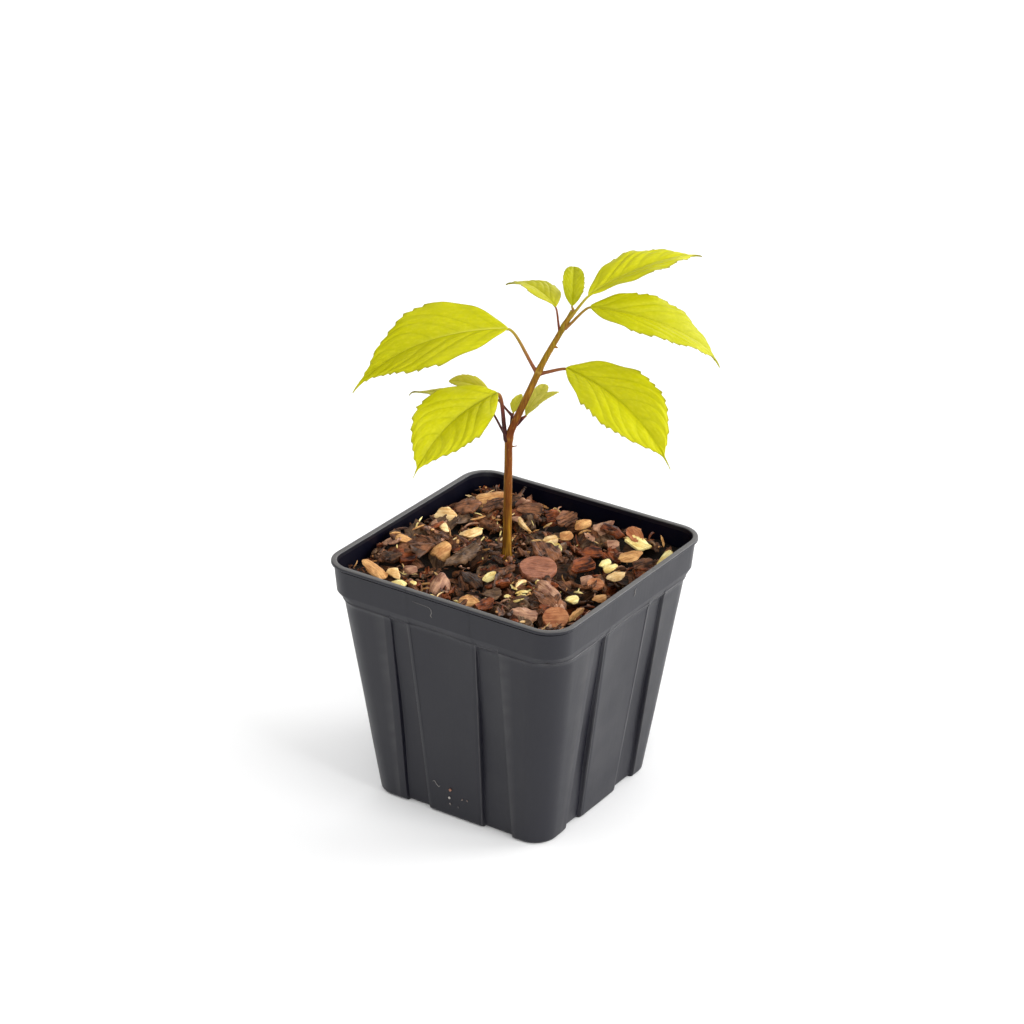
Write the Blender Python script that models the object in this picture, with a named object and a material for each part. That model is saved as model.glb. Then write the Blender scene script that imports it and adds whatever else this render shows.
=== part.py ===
"""Young beautyberry shrub, one stem with opposite pairs of drip-tipped leaves, in a square nursery pot.

Metres, +Z up. The origin is the centre of the pot's flat underside, and the pot's faces are square
to X and Y. Headings are degrees about Z, from +X towards +Y. Pitches are degrees above level.
"""

import math
import random
from dataclasses import dataclass

import bmesh
import bpy
from mathutils import Matrix, Vector, noise

MM = 0.001
CLEAR = 0.3 * MM
SHARP_ANGLE = 35.0

# Pot: a thin-walled square pot, 89 mm across its lip
POT_HEIGHT = 83.5 * MM
WALL = 1.1 * MM
FLOOR = 1.4 * MM
BASE_EDGE = 0.6 * MM
CORNER_STEPS = 6
GROOVE_DEPTH = 1.3 * MM
GROOVE_RAMP = 1.2 * MM
GROOVE_OUTER = 20.4 * MM
PANEL_HALF_AT_BASE = 10.0 * MM
PANEL_HALF_AT_BAND = 12.8 * MM
PANEL_BOW = 0.6 * MM
DRAIN_RADIUS = 4.5 * MM
DRAIN_OFFSET = 19.0 * MM
DRAIN_SIDES = 24


@dataclass
class Ring:
    """One level of the pot's wall: its height, half its width, and the radius of its corners."""

    z: float
    half: float
    corner: float
    groove: float = 0.0
    bow: float = 0.0


LIP = Ring(POT_HEIGHT, 44.5 * MM, 9.4 * MM)
LIP_DEPTH = 1.1 * MM
LIP_ROUND = 0.3 * MM
LIP_INNER = 42.6 * MM
BAND_TOP = Ring(82.0 * MM, 43.9 * MM, 8.9 * MM)
BAND_FOOT = Ring(73.2 * MM, 43.0 * MM, 8.6 * MM)
BODY_TOP = Ring(70.6 * MM, 42.1 * MM, 11.0 * MM, GROOVE_DEPTH, PANEL_BOW)
BODY_FOOT = Ring(BASE_EDGE, 33.1 * MM, 8.0 * MM, GROOVE_DEPTH)

# Potting mix: coarse bark, mounded a little to the stem and heaped up to the wall at +Y, with chips on top
MIX_EDGE_Z = 76.0 * MM
MIX_MOUND = 1.0 * MM
MIX_HEAP = 3.6 * MM
MIX_HEAP_SPAN = (12.0 * MM, 40.0 * MM)
MIX_ROUGH = 2.2 * MM
MIX_LUMP = 7.0 * MM
MIX_RINGS = (1.0, 0.93, 0.82, 0.70, 0.58, 0.46, 0.34, 0.22, 0.12)
CHIP_SEED = 11
CHIP_COUNT = 56
CHIP_LENGTH = (6.0 * MM, 12.0 * MM)
CHIP_SLIM = (0.5, 0.8)
CHIP_THICKNESS = (1.6 * MM, 2.6 * MM)
CHIP_TILT = 16.0
CHIP_SIDES = (5, 7)
CHIP_CORNER_SHIFT = 0.2
CHIP_CORNER_REACH = (0.85, 1.0)
CHIP_TOP_SHARE = 0.92
CHIP_STEM_CLEAR = 6.0 * MM
CHIP_WALL_CLEAR = 1.2 * MM
CHIP_SPACING = 6.6 * MM

# Stem: upright to its first node, then leaning over in two steps
STEM_FOOT = Vector((-5.2 * MM, 2.5 * MM, MIX_EDGE_Z + MIX_MOUND + CLEAR))
STEM_LENGTH = 88.5 * MM
LEAN_HEADING = 33.0
FIRST_LEAN = 22.5
SECOND_LEAN = 27.5
FIRST_BEND = (39.0 * MM, 46.0 * MM)
SECOND_BEND = (66.0 * MM, 74.0 * MM)
STEM_RADIUS_FOOT = 1.35 * MM
STEM_RADIUS_TIP = 0.7 * MM
FLARE = 0.45 * MM
FLARE_REACH = 2.5 * MM
NODE_SWELL = 0.2 * MM
NODE_REACH = 1.4 * MM
NODE_LOW = 41.5 * MM
NODE_SHOOTS = 43.5 * MM
NODE_MIDDLE = 66.0 * MM
NODE_HIGH = 83.0 * MM
NODE_TOP = 87.0 * MM
STEM_SIDES = 12
STEM_STEP = 2.0 * MM
STEM_TAPER_POWER = 1.3
STUB_SIDES = 6
STUB_END_SHARE = 0.7

# Leaves: every blade is one thin curved plate with a toothed edge, a stalk and a midrib
BLADE_THICKNESS = 0.6 * MM
YOUNG_THICKNESS = 0.4 * MM
BLADE_COLUMNS = (-1.0, -0.5, 0.0, 0.5, 1.0)
BLADE_FOLD = 12.0
BLADE_DOME = 0.24
DROOP_POWER = 1.2
TOOTH_SPACING = 3.2 * MM
TOOTH_DEPTH = 0.55 * MM
TOOTH_DEPTH_SHARE = 0.05
TOOTH_LEAN = 0.75
FEWEST_TEETH = 3
BASE_SHARE = 0.03
TEETH_FROM = 0.10
TEETH_TO = 0.90
TIP_SHARE = 0.95
MIDRIB_STEPS = 120
TIP_HALF = 0.12 * MM
STALK_SIDES = 7
STALK_STEPS = 8
STALK_TAPER = 0.75
START_PULL = 0.3
END_PULL = 0.16
KNEE = 1.25
KNEE_STEP = 22.0
TWIG_RADIUS = 0.5 * MM
TWIG_STEPS = 4
RIB_STEP = 0.12
RIB_STEPS = 5
RIB_SUNK = 0.25
RIB_END_SHARE = 0.55
YOUNG_WIDTH = 10.0 * MM


def direction(heading, pitch):
    """Unit vector at a heading and a pitch in degrees."""
    h = math.radians(heading)
    p = math.radians(pitch)
    return Vector((math.cos(p) * math.cos(h), math.cos(p) * math.sin(h), math.sin(p)))


def smoothstep(value, span):
    """0 before the span, 1 after it, smooth between."""
    u = min(max((value - span[0]) / (span[1] - span[0]), 0.0), 1.0)
    return u * u * (3 - 2 * u)


def material(name, colour, roughness):
    """Plain Principled material."""
    made = bpy.data.materials.new(name)
    made.use_nodes = True
    shader = made.node_tree.nodes["Principled BSDF"]
    shader.inputs["Base Color"].default_value = (*colour, 1.0)
    shader.inputs["Roughness"].default_value = roughness
    shader.inputs["Metallic"].default_value = 0.0
    return made


def make_object(name, vertices, faces, finish):
    """Object from vertices and faces, its faces turned outwards and its round parts shaded smooth."""
    mesh = bpy.data.meshes.new(name)
    mesh.from_pydata([tuple(v) for v in vertices], [], faces)
    shell = bmesh.new()
    shell.from_mesh(mesh)
    bmesh.ops.recalc_face_normals(shell, faces=shell.faces)
    if shell.calc_volume(signed=True) < 0:
        bmesh.ops.reverse_faces(shell, faces=shell.faces)
    shell.to_mesh(mesh)
    shell.free()
    mesh.shade_smooth()
    mesh.set_sharp_from_angle(angle=math.radians(SHARP_ANGLE))
    mesh.materials.append(finish)
    made = bpy.data.objects.new(name, mesh)
    bpy.context.scene.collection.objects.link(made)
    return made


def loft(rings):
    """Vertices and faces of a closed skin over rings of equal count, with a flat cap at each end."""
    count = len(rings[0])
    vertices = [point for ring in rings for point in ring]
    faces = []
    for level in range(len(rings) - 1):
        low = level * count
        high = low + count
        for i in range(count):
            j = (i + 1) % count
            faces.append((low + i, low + j, high + j, high + i))
    faces.append(tuple(reversed(range(count))))
    last = (len(rings) - 1) * count
    faces.append(tuple(range(last, last + count)))
    return vertices, faces


def tube(points, radii, sides):
    """Rings of a round tube along points, turned as little as possible from one to the next."""
    rings = []
    side = None
    for i, point in enumerate(points):
        ahead = points[min(i + 1, len(points) - 1)] - points[max(i - 1, 0)]
        ahead.normalize()
        if side is None:
            side = ahead.orthogonal().normalized()
        side = (side - ahead * side.dot(ahead)).normalized()
        across = ahead.cross(side)
        turn = 2 * math.pi / sides
        rings.append([
            point + (side * math.cos(k * turn) + across * math.sin(k * turn)) * radii[i]
            for k in range(sides)
        ])
    return rings


def largest_shell(mesh):
    """Drop loose scraps and the walls of sealed hollows, which leaves the one outer body."""
    body = bmesh.new()
    body.from_mesh(mesh)
    left = set(body.verts)
    shells = []
    while left:
        shell = {left.pop()}
        edge_of_shell = list(shell)
        while edge_of_shell:
            found = edge_of_shell.pop()
            for edge in found.link_edges:
                other = edge.other_vert(found)
                if other in left:
                    left.remove(other)
                    shell.add(other)
                    edge_of_shell.append(other)
        shells.append(shell)
    shells.sort(key=len, reverse=True)
    for shell in shells[1:]:
        bmesh.ops.delete(body, geom=list(shell), context="VERTS")
    body.to_mesh(mesh)
    body.free()


def fuse(name, pieces):
    """One solid from overlapping pieces, by one Boolean union on a collection."""
    base = pieces[0]
    group = bpy.data.collections.new(name + "_pieces")
    bpy.context.scene.collection.children.link(group)
    for piece in pieces[1:]:
        bpy.context.scene.collection.objects.unlink(piece)
        group.objects.link(piece)
    union = base.modifiers.new("union", "BOOLEAN")
    union.operation = "UNION"
    union.operand_type = "COLLECTION"
    union.collection = group
    union.solver = "EXACT"
    graph = bpy.context.evaluated_depsgraph_get()
    joined = bpy.data.meshes.new_from_object(base.evaluated_get(graph))
    base.modifiers.clear()
    base.data = joined
    for piece in list(group.objects):
        bpy.data.objects.remove(piece)
    bpy.data.collections.remove(group)
    largest_shell(joined)
    joined.shade_smooth()
    joined.set_sharp_from_angle(angle=math.radians(SHARP_ANGLE))
    base.name = name
    joined.name = name
    return base


def wall_section(ring, inset=0.0):
    """Points round one level of the pot's wall, with two grooves in each face, moved in by inset."""
    half = ring.half - inset
    corner = ring.corner - inset
    groove = ring.groove
    bow = ring.bow
    rise = ring.z / BODY_TOP.z
    panel = PANEL_HALF_AT_BASE + (PANEL_HALF_AT_BAND - PANEL_HALF_AT_BASE) * min(rise, 1.0)
    straight = half - corner
    face = [
        (-straight, 0.0),
        (-GROOVE_OUTER, 0.0),
        (-GROOVE_OUTER + GROOVE_RAMP, groove),
        (-panel - GROOVE_RAMP, groove),
        (-panel, 0.0),
        (0.0, bow),
        (panel, 0.0),
        (panel + GROOVE_RAMP, groove),
        (GROOVE_OUTER - GROOVE_RAMP, groove),
        (GROOVE_OUTER, 0.0),
        (straight, 0.0),
    ]
    points = []
    for quarter in range(4):
        turn = quarter * math.pi / 2
        cos, sin = round(math.cos(turn)), round(math.sin(turn))
        local = [(u, -(half - depth)) for u, depth in face]
        for step in range(1, CORNER_STEPS):
            angle = -math.pi / 2 + step * math.pi / 2 / CORNER_STEPS
            local.append((straight + corner * math.cos(angle), -straight + corner * math.sin(angle)))
        points += [Vector((x * cos - y * sin, x * sin + y * cos, ring.z)) for x, y in local]
    return points


def between(low, high, z):
    """The wall's level at height z between two levels."""
    u = (z - low.z) / (high.z - low.z)
    mix = [a + (b - a) * u for a, b in (
        (low.half, high.half), (low.corner, high.corner), (low.groove, high.groove), (low.bow, high.bow)
    )]
    return Ring(z, *mix)


def inside_wall(z, clear=0.0):
    """Points round the inside of the wall at height z, moved in by a clearance."""
    if z <= BODY_TOP.z:
        level = between(BODY_FOOT, BODY_TOP, z)
    elif z <= BAND_FOOT.z:
        level = between(BODY_TOP, BAND_FOOT, z)
    else:
        level = between(BAND_FOOT, BAND_TOP, z)
    return wall_section(level, WALL + clear)


def mix_side(z, gap):
    """Points round the side of the potting mix at height z, a gap in from the wall just below."""
    return [Vector((p.x, p.y, z)) for p in inside_wall(z - gap, gap)]


def make_pot():
    """Square pot with a lip, a plain band, grooved walls and four round drain holes."""
    lip_under = Ring(LIP.z - LIP_DEPTH, LIP.half, LIP.corner)
    lip_side = Ring(LIP.z - LIP_ROUND, LIP.half, LIP.corner)
    lip_top = Ring(LIP.z, LIP.half - LIP_ROUND, LIP.corner - LIP_ROUND)
    lip_back = Ring(LIP.z, LIP_INNER + LIP_ROUND, LIP.corner - LIP.half + LIP_INNER + LIP_ROUND)
    lip_inner = Ring(LIP.z - LIP_ROUND, LIP_INNER, LIP.corner - LIP.half + LIP_INNER)
    underside = Ring(0.0, BODY_FOOT.half - BASE_EDGE, BODY_FOOT.corner - BASE_EDGE, GROOVE_DEPTH)
    outside = [underside, BODY_FOOT, BODY_TOP, BAND_FOOT, BAND_TOP, lip_under, lip_side, lip_top]
    rings = [wall_section(level) for level in outside]
    rings += [wall_section(lip_back), wall_section(lip_inner)]
    rings += [inside_wall(z) for z in (BAND_FOOT.z, BODY_TOP.z, FLOOR)]
    pot = make_object("pot", *loft(rings), material("pot_plastic", (0.048, 0.046, 0.052), 0.45))
    holes = bmesh.new()
    for sx in (-1, 1):
        for sy in (-1, 1):
            made = bmesh.ops.create_cone(
                holes, cap_ends=True, segments=DRAIN_SIDES, radius1=DRAIN_RADIUS, radius2=DRAIN_RADIUS,
                depth=6 * FLOOR)
            bmesh.ops.translate(
                holes, verts=made["verts"], vec=(sx * DRAIN_OFFSET, sy * DRAIN_OFFSET, FLOOR / 2))
    mesh = bpy.data.meshes.new("drain_cutter")
    holes.to_mesh(mesh)
    holes.free()
    cutter = bpy.data.objects.new("drain_cutter", mesh)
    cutter.hide_render = True
    cutter.display_type = "WIRE"
    bpy.context.scene.collection.objects.link(cutter)
    cut = pot.modifiers.new("drain_holes", "BOOLEAN")
    cut.operation = "DIFFERENCE"
    cut.object = cutter
    cut.solver = "EXACT"
    return pot


def make_chip(name, spot, chance, finish):
    """One bark chip: a slab of uneven outline, lying at a slight tilt and sunk in to its middle."""
    sides = chance.randint(*CHIP_SIDES)
    length = chance.uniform(*CHIP_LENGTH)
    width = length * chance.uniform(*CHIP_SLIM)
    thickness = chance.uniform(*CHIP_THICKNESS)
    tilt = math.radians(chance.uniform(-CHIP_TILT, CHIP_TILT))
    turn = Matrix.Rotation(chance.uniform(0, math.pi), 3, "Z") @ Matrix.Rotation(tilt, 3, "Y")
    outline = []
    for k in range(sides):
        angle = 2 * math.pi * (k + chance.uniform(-CHIP_CORNER_SHIFT, CHIP_CORNER_SHIFT)) / sides
        reach = chance.uniform(*CHIP_CORNER_REACH)
        outline.append(Vector((length / 2 * math.cos(angle), width / 2 * math.sin(angle), 0)) * reach)
    lift = Vector((0, 0, thickness / 2))
    under = [spot + turn @ (point - lift) for point in outline]
    top = [spot + turn @ (point * CHIP_TOP_SHARE + lift) for point in outline]
    return make_object(name, *loft([under, top]), finish)


def chip_spots(chance):
    """Places for the chips: spread over the top, clear of the stem, of the wall and of each other."""
    spots = []
    room = BAND_FOOT.half - WALL - CHIP_WALL_CLEAR - CHIP_LENGTH[1] / 2
    while len(spots) < CHIP_COUNT:
        x, y = chance.uniform(-room, room), chance.uniform(-room, room)
        spot = Vector((x, y, mix_height(x, y)))
        flat = Vector((x - STEM_FOOT.x, y - STEM_FOOT.y, 0)).length
        if flat < CHIP_STEM_CLEAR + CHIP_LENGTH[1] / 2:
            continue
        if all((spot - other).length > CHIP_SPACING for other in spots):
            spots.append(spot)
    return spots


def mix_height(x, y):
    """Height of the mix's rough top, mounded to the stem and heaped at one wall."""
    aside = math.hypot(x - STEM_FOOT.x, y - STEM_FOOT.y)
    mound = MIX_MOUND * max(0.0, 1 - aside / BAND_FOOT.half)
    heap = MIX_HEAP * smoothstep(y, MIX_HEAP_SPAN)
    return MIX_EDGE_Z + mound + heap + MIX_ROUGH * noise.noise(Vector((x, y, 0)) / MIX_LUMP)


def make_mix():
    """Potting mix: it fills the pot up to a rough, slightly mounded top with a flat spot at the stem."""
    chance = random.Random(CHIP_SEED)
    bark = material("bark_mix", (0.10, 0.045, 0.025), 0.9)
    levels = ((FLOOR + CLEAR, CLEAR), (BODY_TOP.z, 4 * CLEAR), (BAND_FOOT.z, CLEAR))
    rings = [mix_side(z, gap) for z, gap in levels]
    edge = mix_side(MIX_EDGE_Z, CLEAR)
    centre = Vector((STEM_FOOT.x, STEM_FOOT.y, MIX_EDGE_Z))
    for share in MIX_RINGS[:-1]:
        spots = [centre.lerp(point, share) for point in edge]
        rings.append([Vector((spot.x, spot.y, mix_height(spot.x, spot.y))) for spot in spots])
    seat = Vector((0, 0, MIX_MOUND))
    rings.append([centre.lerp(point, MIX_RINGS[-1]) + seat for point in edge])
    bulk = make_object("mix_bulk", *loft(rings), bark)
    chips = [make_chip("chip", spot, chance, bark) for spot in chip_spots(chance)]
    return fuse("potting_mix", [bulk] + chips)


def stem_path():
    """Points up the stem, one for each step of its length."""
    steps = round(STEM_LENGTH / STEM_STEP)
    step = STEM_LENGTH / steps
    points = [STEM_FOOT.copy()]
    for i in range(steps):
        middle = (i + 0.5) * step
        points.append(points[-1] + stem_direction(middle) * step)
    return points


def stem_direction(along):
    """Direction of the stem at a distance along it."""
    lean = FIRST_LEAN * smoothstep(along, FIRST_BEND)
    lean += (SECOND_LEAN - FIRST_LEAN) * smoothstep(along, SECOND_BEND)
    return direction(LEAN_HEADING, 90 - lean)


def stem_point(along):
    """Point on the stem's centre line at a distance along it."""
    points = stem_path()
    place = along / STEM_LENGTH * (len(points) - 1)
    i = min(int(place), len(points) - 2)
    return points[i].lerp(points[i + 1], place - i)


def stem_radius(along):
    """Taper from foot to tip, with a flare at the ground and a swelling at each node."""
    u = along / STEM_LENGTH
    radius = STEM_RADIUS_FOOT + (STEM_RADIUS_TIP - STEM_RADIUS_FOOT) * u ** STEM_TAPER_POWER
    radius += FLARE * math.exp(-along / FLARE_REACH)
    for node in (NODE_LOW, NODE_MIDDLE, NODE_HIGH):
        radius += NODE_SWELL * math.exp(-((along - node) / NODE_REACH) ** 2)
    return radius


def make_stem():
    """Tapered stem from its flat cut at ground level to its tip, with a bud scar and a dead twiglet."""
    bark = material("stem_bark", (0.19, 0.075, 0.02), 0.55)
    points = stem_path()
    step = STEM_LENGTH / (len(points) - 1)
    radii = [stem_radius(i * step) for i in range(len(points))]
    rings = tube(points, radii, STEM_SIDES)
    foot_z = STEM_FOOT.z
    rings[0] = [Vector((p.x, p.y, foot_z)) for p in rings[0]]
    core = make_object("stem_core", *loft(rings), bark)
    pieces = [core]
    for name, along, heading, pitch, reach, radius in (
        ("twiglet", 38.5 * MM, 33.0, 5.0, 2.2 * MM, 0.3 * MM),
        ("bud_scar", 74.0 * MM, 20.0, -10.0, 0.8 * MM, 0.45 * MM),
    ):
        start = stem_point(along)
        end = start + direction(heading, pitch) * (stem_radius(along) + reach)
        radii = [radius, radius, radius * STUB_END_SHARE]
        shape = tube([start, start.lerp(end, 0.5), end], radii, STUB_SIDES)
        pieces.append(make_object(name, *loft(shape), bark))
    return fuse("stem", pieces)


@dataclass
class Blade:
    """A leaf blade: how it sets off from the end of its stalk, how it bends, its size and its outline.

    The belly is the share of the length where it is widest. The higher the tip's or the base's number,
    the more the outline is drawn in from the belly to that end.
    """

    heading: float
    rise: float
    droop: float
    bend: float
    roll: float
    twist: float
    length: float
    width: float
    belly: float
    tip: float
    base: float


@dataclass
class Leaf:
    """A leaf on a node of the stem: its stalk's length, heading and pitch, then its blade.

    The seat is the heading of the side of the stem that the stalk springs from.
    """

    name: str
    node: float
    seat: float
    stalk: float
    heading: float
    pitch: float
    blade: Blade
    stalk_radius: float = 0.55 * MM


LEAVES = (
    Leaf("leaf_upper_left", NODE_MIDDLE, 205, 17.0 * MM, 210, 55,
         Blade(218, 0, 56, -13, -30, -5, 55.5 * MM, 23.7 * MM, 0.43, 1.9, 0.9)),
    Leaf("leaf_middle_right", NODE_MIDDLE, 25, 8.7 * MM, 23, 12,
         Blade(1, -9, 33, -25, 22, -7, 49.3 * MM, 22.6 * MM, 0.48, 1.6, 0.9)),
    Leaf("leaf_lower_front", NODE_LOW, 240, 15.7 * MM, 212, 76,
         Blade(252, -6, 36, 22, -22, 7, 42.6 * MM, 21.9 * MM, 0.46, 1.55, 0.95), 0.6 * MM),
    Leaf("leaf_lower_back", NODE_LOW, 165, 12.9 * MM, 191, 52,
         Blade(184, 0, 16, -8, 6, 4, 28.8 * MM, 11.3 * MM, 0.37, 1.1, 1.1), 0.45 * MM),
    Leaf("leaf_upper_right", NODE_HIGH, 10, 10.4 * MM, 27, 41,
         Blade(15, -1, 57, 56, 25, -2, 50.0 * MM, 17.1 * MM, 0.41, 1.05, 0.75), 0.45 * MM),
    Leaf("leaf_top_left", NODE_HIGH, 213, 6.8 * MM, 213, 67,
         Blade(153, 17, 42, 14, 11, -2, 26.8 * MM, 12.7 * MM, 0.38, 1.95, 1.0), 0.35 * MM),
    Leaf("leaf_top_right", NODE_TOP, 330, 8.5 * MM, 31, 52,
         Blade(65, 21, 32, 2, -1, -2, 43.5 * MM, 17.5 * MM, 0.38, 1.55, 1.0), 0.45 * MM),
    Leaf("leaf_tip", STEM_LENGTH, 33, 1.6 * MM, 150, 70,
         Blade(119, 54, 43, 4, 9, -3, 15.0 * MM, 6.6 * MM, 0.42, 0.65, 0.7), 0.45 * MM),
)


@dataclass
class Shoot:
    """A short side shoot from the lowest node's axil, with its own pair of young leaves."""

    name: str
    node: float
    length: float
    heading: float
    pitch: float
    pair: tuple


SHOOTS = (
    Shoot("side_shoot_left", NODE_SHOOTS, 5.8 * MM, 111, 67, (
        Leaf("young_leaf_left", 0, 0, 9.1 * MM, 189, 39,
             Blade(201, 25, 36, -8, -13, -5, 14.5 * MM, 6.7 * MM, 0.46, 0.7, 1.5), 0.35 * MM),
        Leaf("young_leaf_upright", 0, 0, 0.8 * MM, 90, 70,
             Blade(99, 49, 10, 1, -1, 0, 7.1 * MM, 3.3 * MM, 0.40, 1.5, 1.1), 0.35 * MM),
    )),
    Shoot("side_shoot_right", NODE_SHOOTS, 6.2 * MM, 45, 50, (
        Leaf("young_leaf_back", 0, 0, 1.0 * MM, 42, 52,
             Blade(75, 39, 5, 19, -6, 2, 12.3 * MM, 5.7 * MM, 0.43, 0.4, 1.05), 0.35 * MM),
        Leaf("young_leaf_right", 0, 0, 1.0 * MM, 43, 54,
             Blade(49, 51, 40, -3, 2, 0, 13.1 * MM, 5.1 * MM, 0.40, 0.9, 1.0), 0.35 * MM),
    )),
)


def midrib(base, blade, shares):
    """Point, direction, side and normal of the midrib at each share of the blade's length."""
    frames = []
    point = base.copy()
    for i in range(MIDRIB_STEPS + 1):
        share = i / MIDRIB_STEPS
        heading = blade.heading + blade.bend * share
        ahead = direction(heading, blade.rise - blade.droop * share ** DROOP_POWER)
        if i:
            point = point + (ahead + frames[-1][1]).normalized() * (blade.length / MIDRIB_STEPS)
        level = Vector((0, 0, 1)).cross(ahead).normalized()
        above = ahead.cross(level)
        roll = math.radians(blade.roll + blade.twist * share)
        side = level * math.cos(roll) + above * math.sin(roll)
        normal = above * math.cos(roll) - level * math.sin(roll)
        frames.append((point, ahead, side, normal))
    return [frames[round(share * MIDRIB_STEPS)] for share in shares]


def half_width(blade, share):
    """Half the width of the blade: rounded at its belly, drawn in to its base and out to a drip tip."""
    if share < blade.belly:
        away = 1 - share / blade.belly
        power = blade.base
    else:
        away = (share - blade.belly) / (1 - blade.belly)
        power = blade.tip
    return max(blade.width / 2 * max(1 - away, 0.0) ** power * (1 + power * away), TIP_HALF)


def edge_stations(blade):
    """Shares of the length where the edge has a point, and how far each stands out as a tooth."""
    teeth = max(FEWEST_TEETH, round(blade.length * (TEETH_TO - TEETH_FROM) / TOOTH_SPACING))
    depth = min(TOOTH_DEPTH, TOOTH_DEPTH_SHARE * blade.width)
    pitch = (TEETH_TO - TEETH_FROM) / teeth
    stations = [(0.0, 0.0), (BASE_SHARE, 0.0)]
    for k in range(teeth):
        start = TEETH_FROM + k * pitch
        stations.append((start, 0.0))
        stations.append((start + TOOTH_LEAN * pitch, depth))
    stations += [(TEETH_TO, 0.0), (TIP_SHARE, 0.0), (1.0, 0.0)]
    return stations


def make_blade(name, base, blade, thickness, finish):
    """Thin curved plate: each half folds up from the midrib and is domed across, with a toothed edge."""
    stations = edge_stations(blade)
    frames = midrib(base, blade, [share for share, tooth in stations])
    fold = math.radians(BLADE_FOLD)
    skins = ([], [])
    for (share, tooth), (point, ahead, side, normal) in zip(stations, frames):
        half = half_width(blade, share)
        for column in BLADE_COLUMNS:
            out = abs(column)
            reach = half + (tooth if out == 1.0 else 0.0)
            lift = half * (out * math.sin(fold) + BLADE_DOME * out * (1 - out))
            middle = point + side * (column * reach * math.cos(fold)) + normal * lift
            skins[0].append(middle + normal * (thickness / 2))
            skins[1].append(middle - normal * (thickness / 2))
    wide = len(BLADE_COLUMNS)
    rows = len(stations)
    under = wide * rows
    faces = []
    for r in range(rows - 1):
        for c in range(wide - 1):
            a = r * wide + c
            top = (a, a + 1, a + 1 + wide, a + wide)
            faces.append(top)
            faces.append(tuple(under + v for v in reversed(top)))
        for edge in (r * wide, r * wide + wide - 1):
            faces.append((edge, edge + wide, edge + wide + under, edge + under))
    for row in (0, (rows - 1) * wide):
        for c in range(wide - 1):
            faces.append((row + c, row + c + 1, row + c + 1 + under, row + c + under))
    return make_object(name, skins[0] + skins[1], faces, finish)


def curve_points(start, start_way, end, end_way, count):
    """Points on a smooth curve that sets off and arrives in the given directions."""
    reach = (end - start).length
    first = start + start_way * (START_PULL * reach)
    second = end - end_way * (END_PULL * reach)
    points = []
    for i in range(count):
        t = i / (count - 1)
        points.append(
            start * (1 - t) ** 3 + first * (3 * t * (1 - t) ** 2)
            + second * (3 * t * t * (1 - t)) + end * t ** 3)
    return points


def knee_points(start, out, way, radius):
    """Points on a tight arc that leaves the stem squarely and turns to the stalk's own direction."""
    turn = out.angle(way)
    aside = (way - out * way.dot(out)).normalized()
    steps = max(2, round(math.degrees(turn) / KNEE_STEP))
    points = []
    for i in range(steps + 1):
        angle = turn * i / steps
        points.append(start + (out * math.sin(angle) + aside * (1 - math.cos(angle))) * radius)
    return points


def make_leaf_pieces(leaf, stalk, end, thickness, finish):
    """Blade, and one tube that is the stalk and then the midrib under the blade."""
    frames = midrib(end, leaf.blade, [0.0, BASE_SHARE] + [RIB_STEP * i for i in range(1, RIB_STEPS + 1)])
    sunk = RIB_SUNK * thickness
    point, ahead, side, normal = frames[0]
    stalk = stalk + curve_points(stalk[-1], leaf_way(leaf), point - normal * sunk, ahead, STALK_STEPS)[1:]
    rib = [point - normal * sunk for point, ahead, side, normal in frames[1:]]
    base_radius = leaf.stalk_radius * STALK_TAPER
    thinner = (leaf.stalk_radius - base_radius) / (len(stalk) - 1)
    radii = [leaf.stalk_radius - thinner * i for i in range(len(stalk))]
    rib_end = RIB_END_SHARE * thickness
    for i in range(len(rib)):
        radii.append(base_radius + (rib_end - base_radius) * (i + 1) / len(rib))
    rod = make_object(leaf.name + "_stalk", *loft(tube(stalk + rib, radii, STALK_SIDES)), finish)
    plate = make_blade(leaf.name + "_blade", end, leaf.blade, thickness, finish)
    return [rod, plate]


def leaf_way(leaf):
    """Direction of a leaf's stalk."""
    return direction(leaf.heading, leaf.pitch)


def stalk_start(along, seat):
    """Where a stalk leaves the stem, just clear of its bark or of its tip, and which way."""
    centre = stem_point(along)
    stem_way = stem_direction(along)
    if along >= STEM_LENGTH:
        return centre + stem_way * CLEAR, stem_way
    level = direction(seat, 0)
    out = (level - stem_way * level.dot(stem_way)).normalized()
    return centre + out * (stem_radius(along) + CLEAR), out


def make_leaf(leaf, finish):
    """A leaf on the stem, stalk and blade in one solid."""
    start, out = stalk_start(leaf.node, leaf.seat)
    end = stem_point(leaf.node) + leaf_way(leaf) * leaf.stalk
    knee = knee_points(start, out, leaf_way(leaf), KNEE * leaf.stalk_radius)
    young = leaf.blade.width < YOUNG_WIDTH
    thickness = YOUNG_THICKNESS if young else BLADE_THICKNESS
    return fuse(leaf.name, make_leaf_pieces(leaf, knee, end, thickness, finish))


def make_shoot(shoot, finish):
    """A side shoot: a short twig with its pair of young leaves, in one solid."""
    start, out = stalk_start(shoot.node, shoot.heading)
    way = direction(shoot.heading, shoot.pitch)
    end = stem_point(shoot.node) + way * shoot.length
    knee = knee_points(start, out, way, KNEE * TWIG_RADIUS)
    points = knee + curve_points(knee[-1], way, end, way, TWIG_STEPS)[1:]
    twig = make_object("twig", *loft(tube(points, [TWIG_RADIUS] * len(points), STALK_SIDES)), finish)
    pieces = [twig]
    for leaf in shoot.pair:
        root = [end - way * TWIG_RADIUS]
        blade_base = end + leaf_way(leaf) * leaf.stalk
        pieces += make_leaf_pieces(leaf, root, blade_base, YOUNG_THICKNESS, finish)
    return fuse(shoot.name, pieces)


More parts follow.
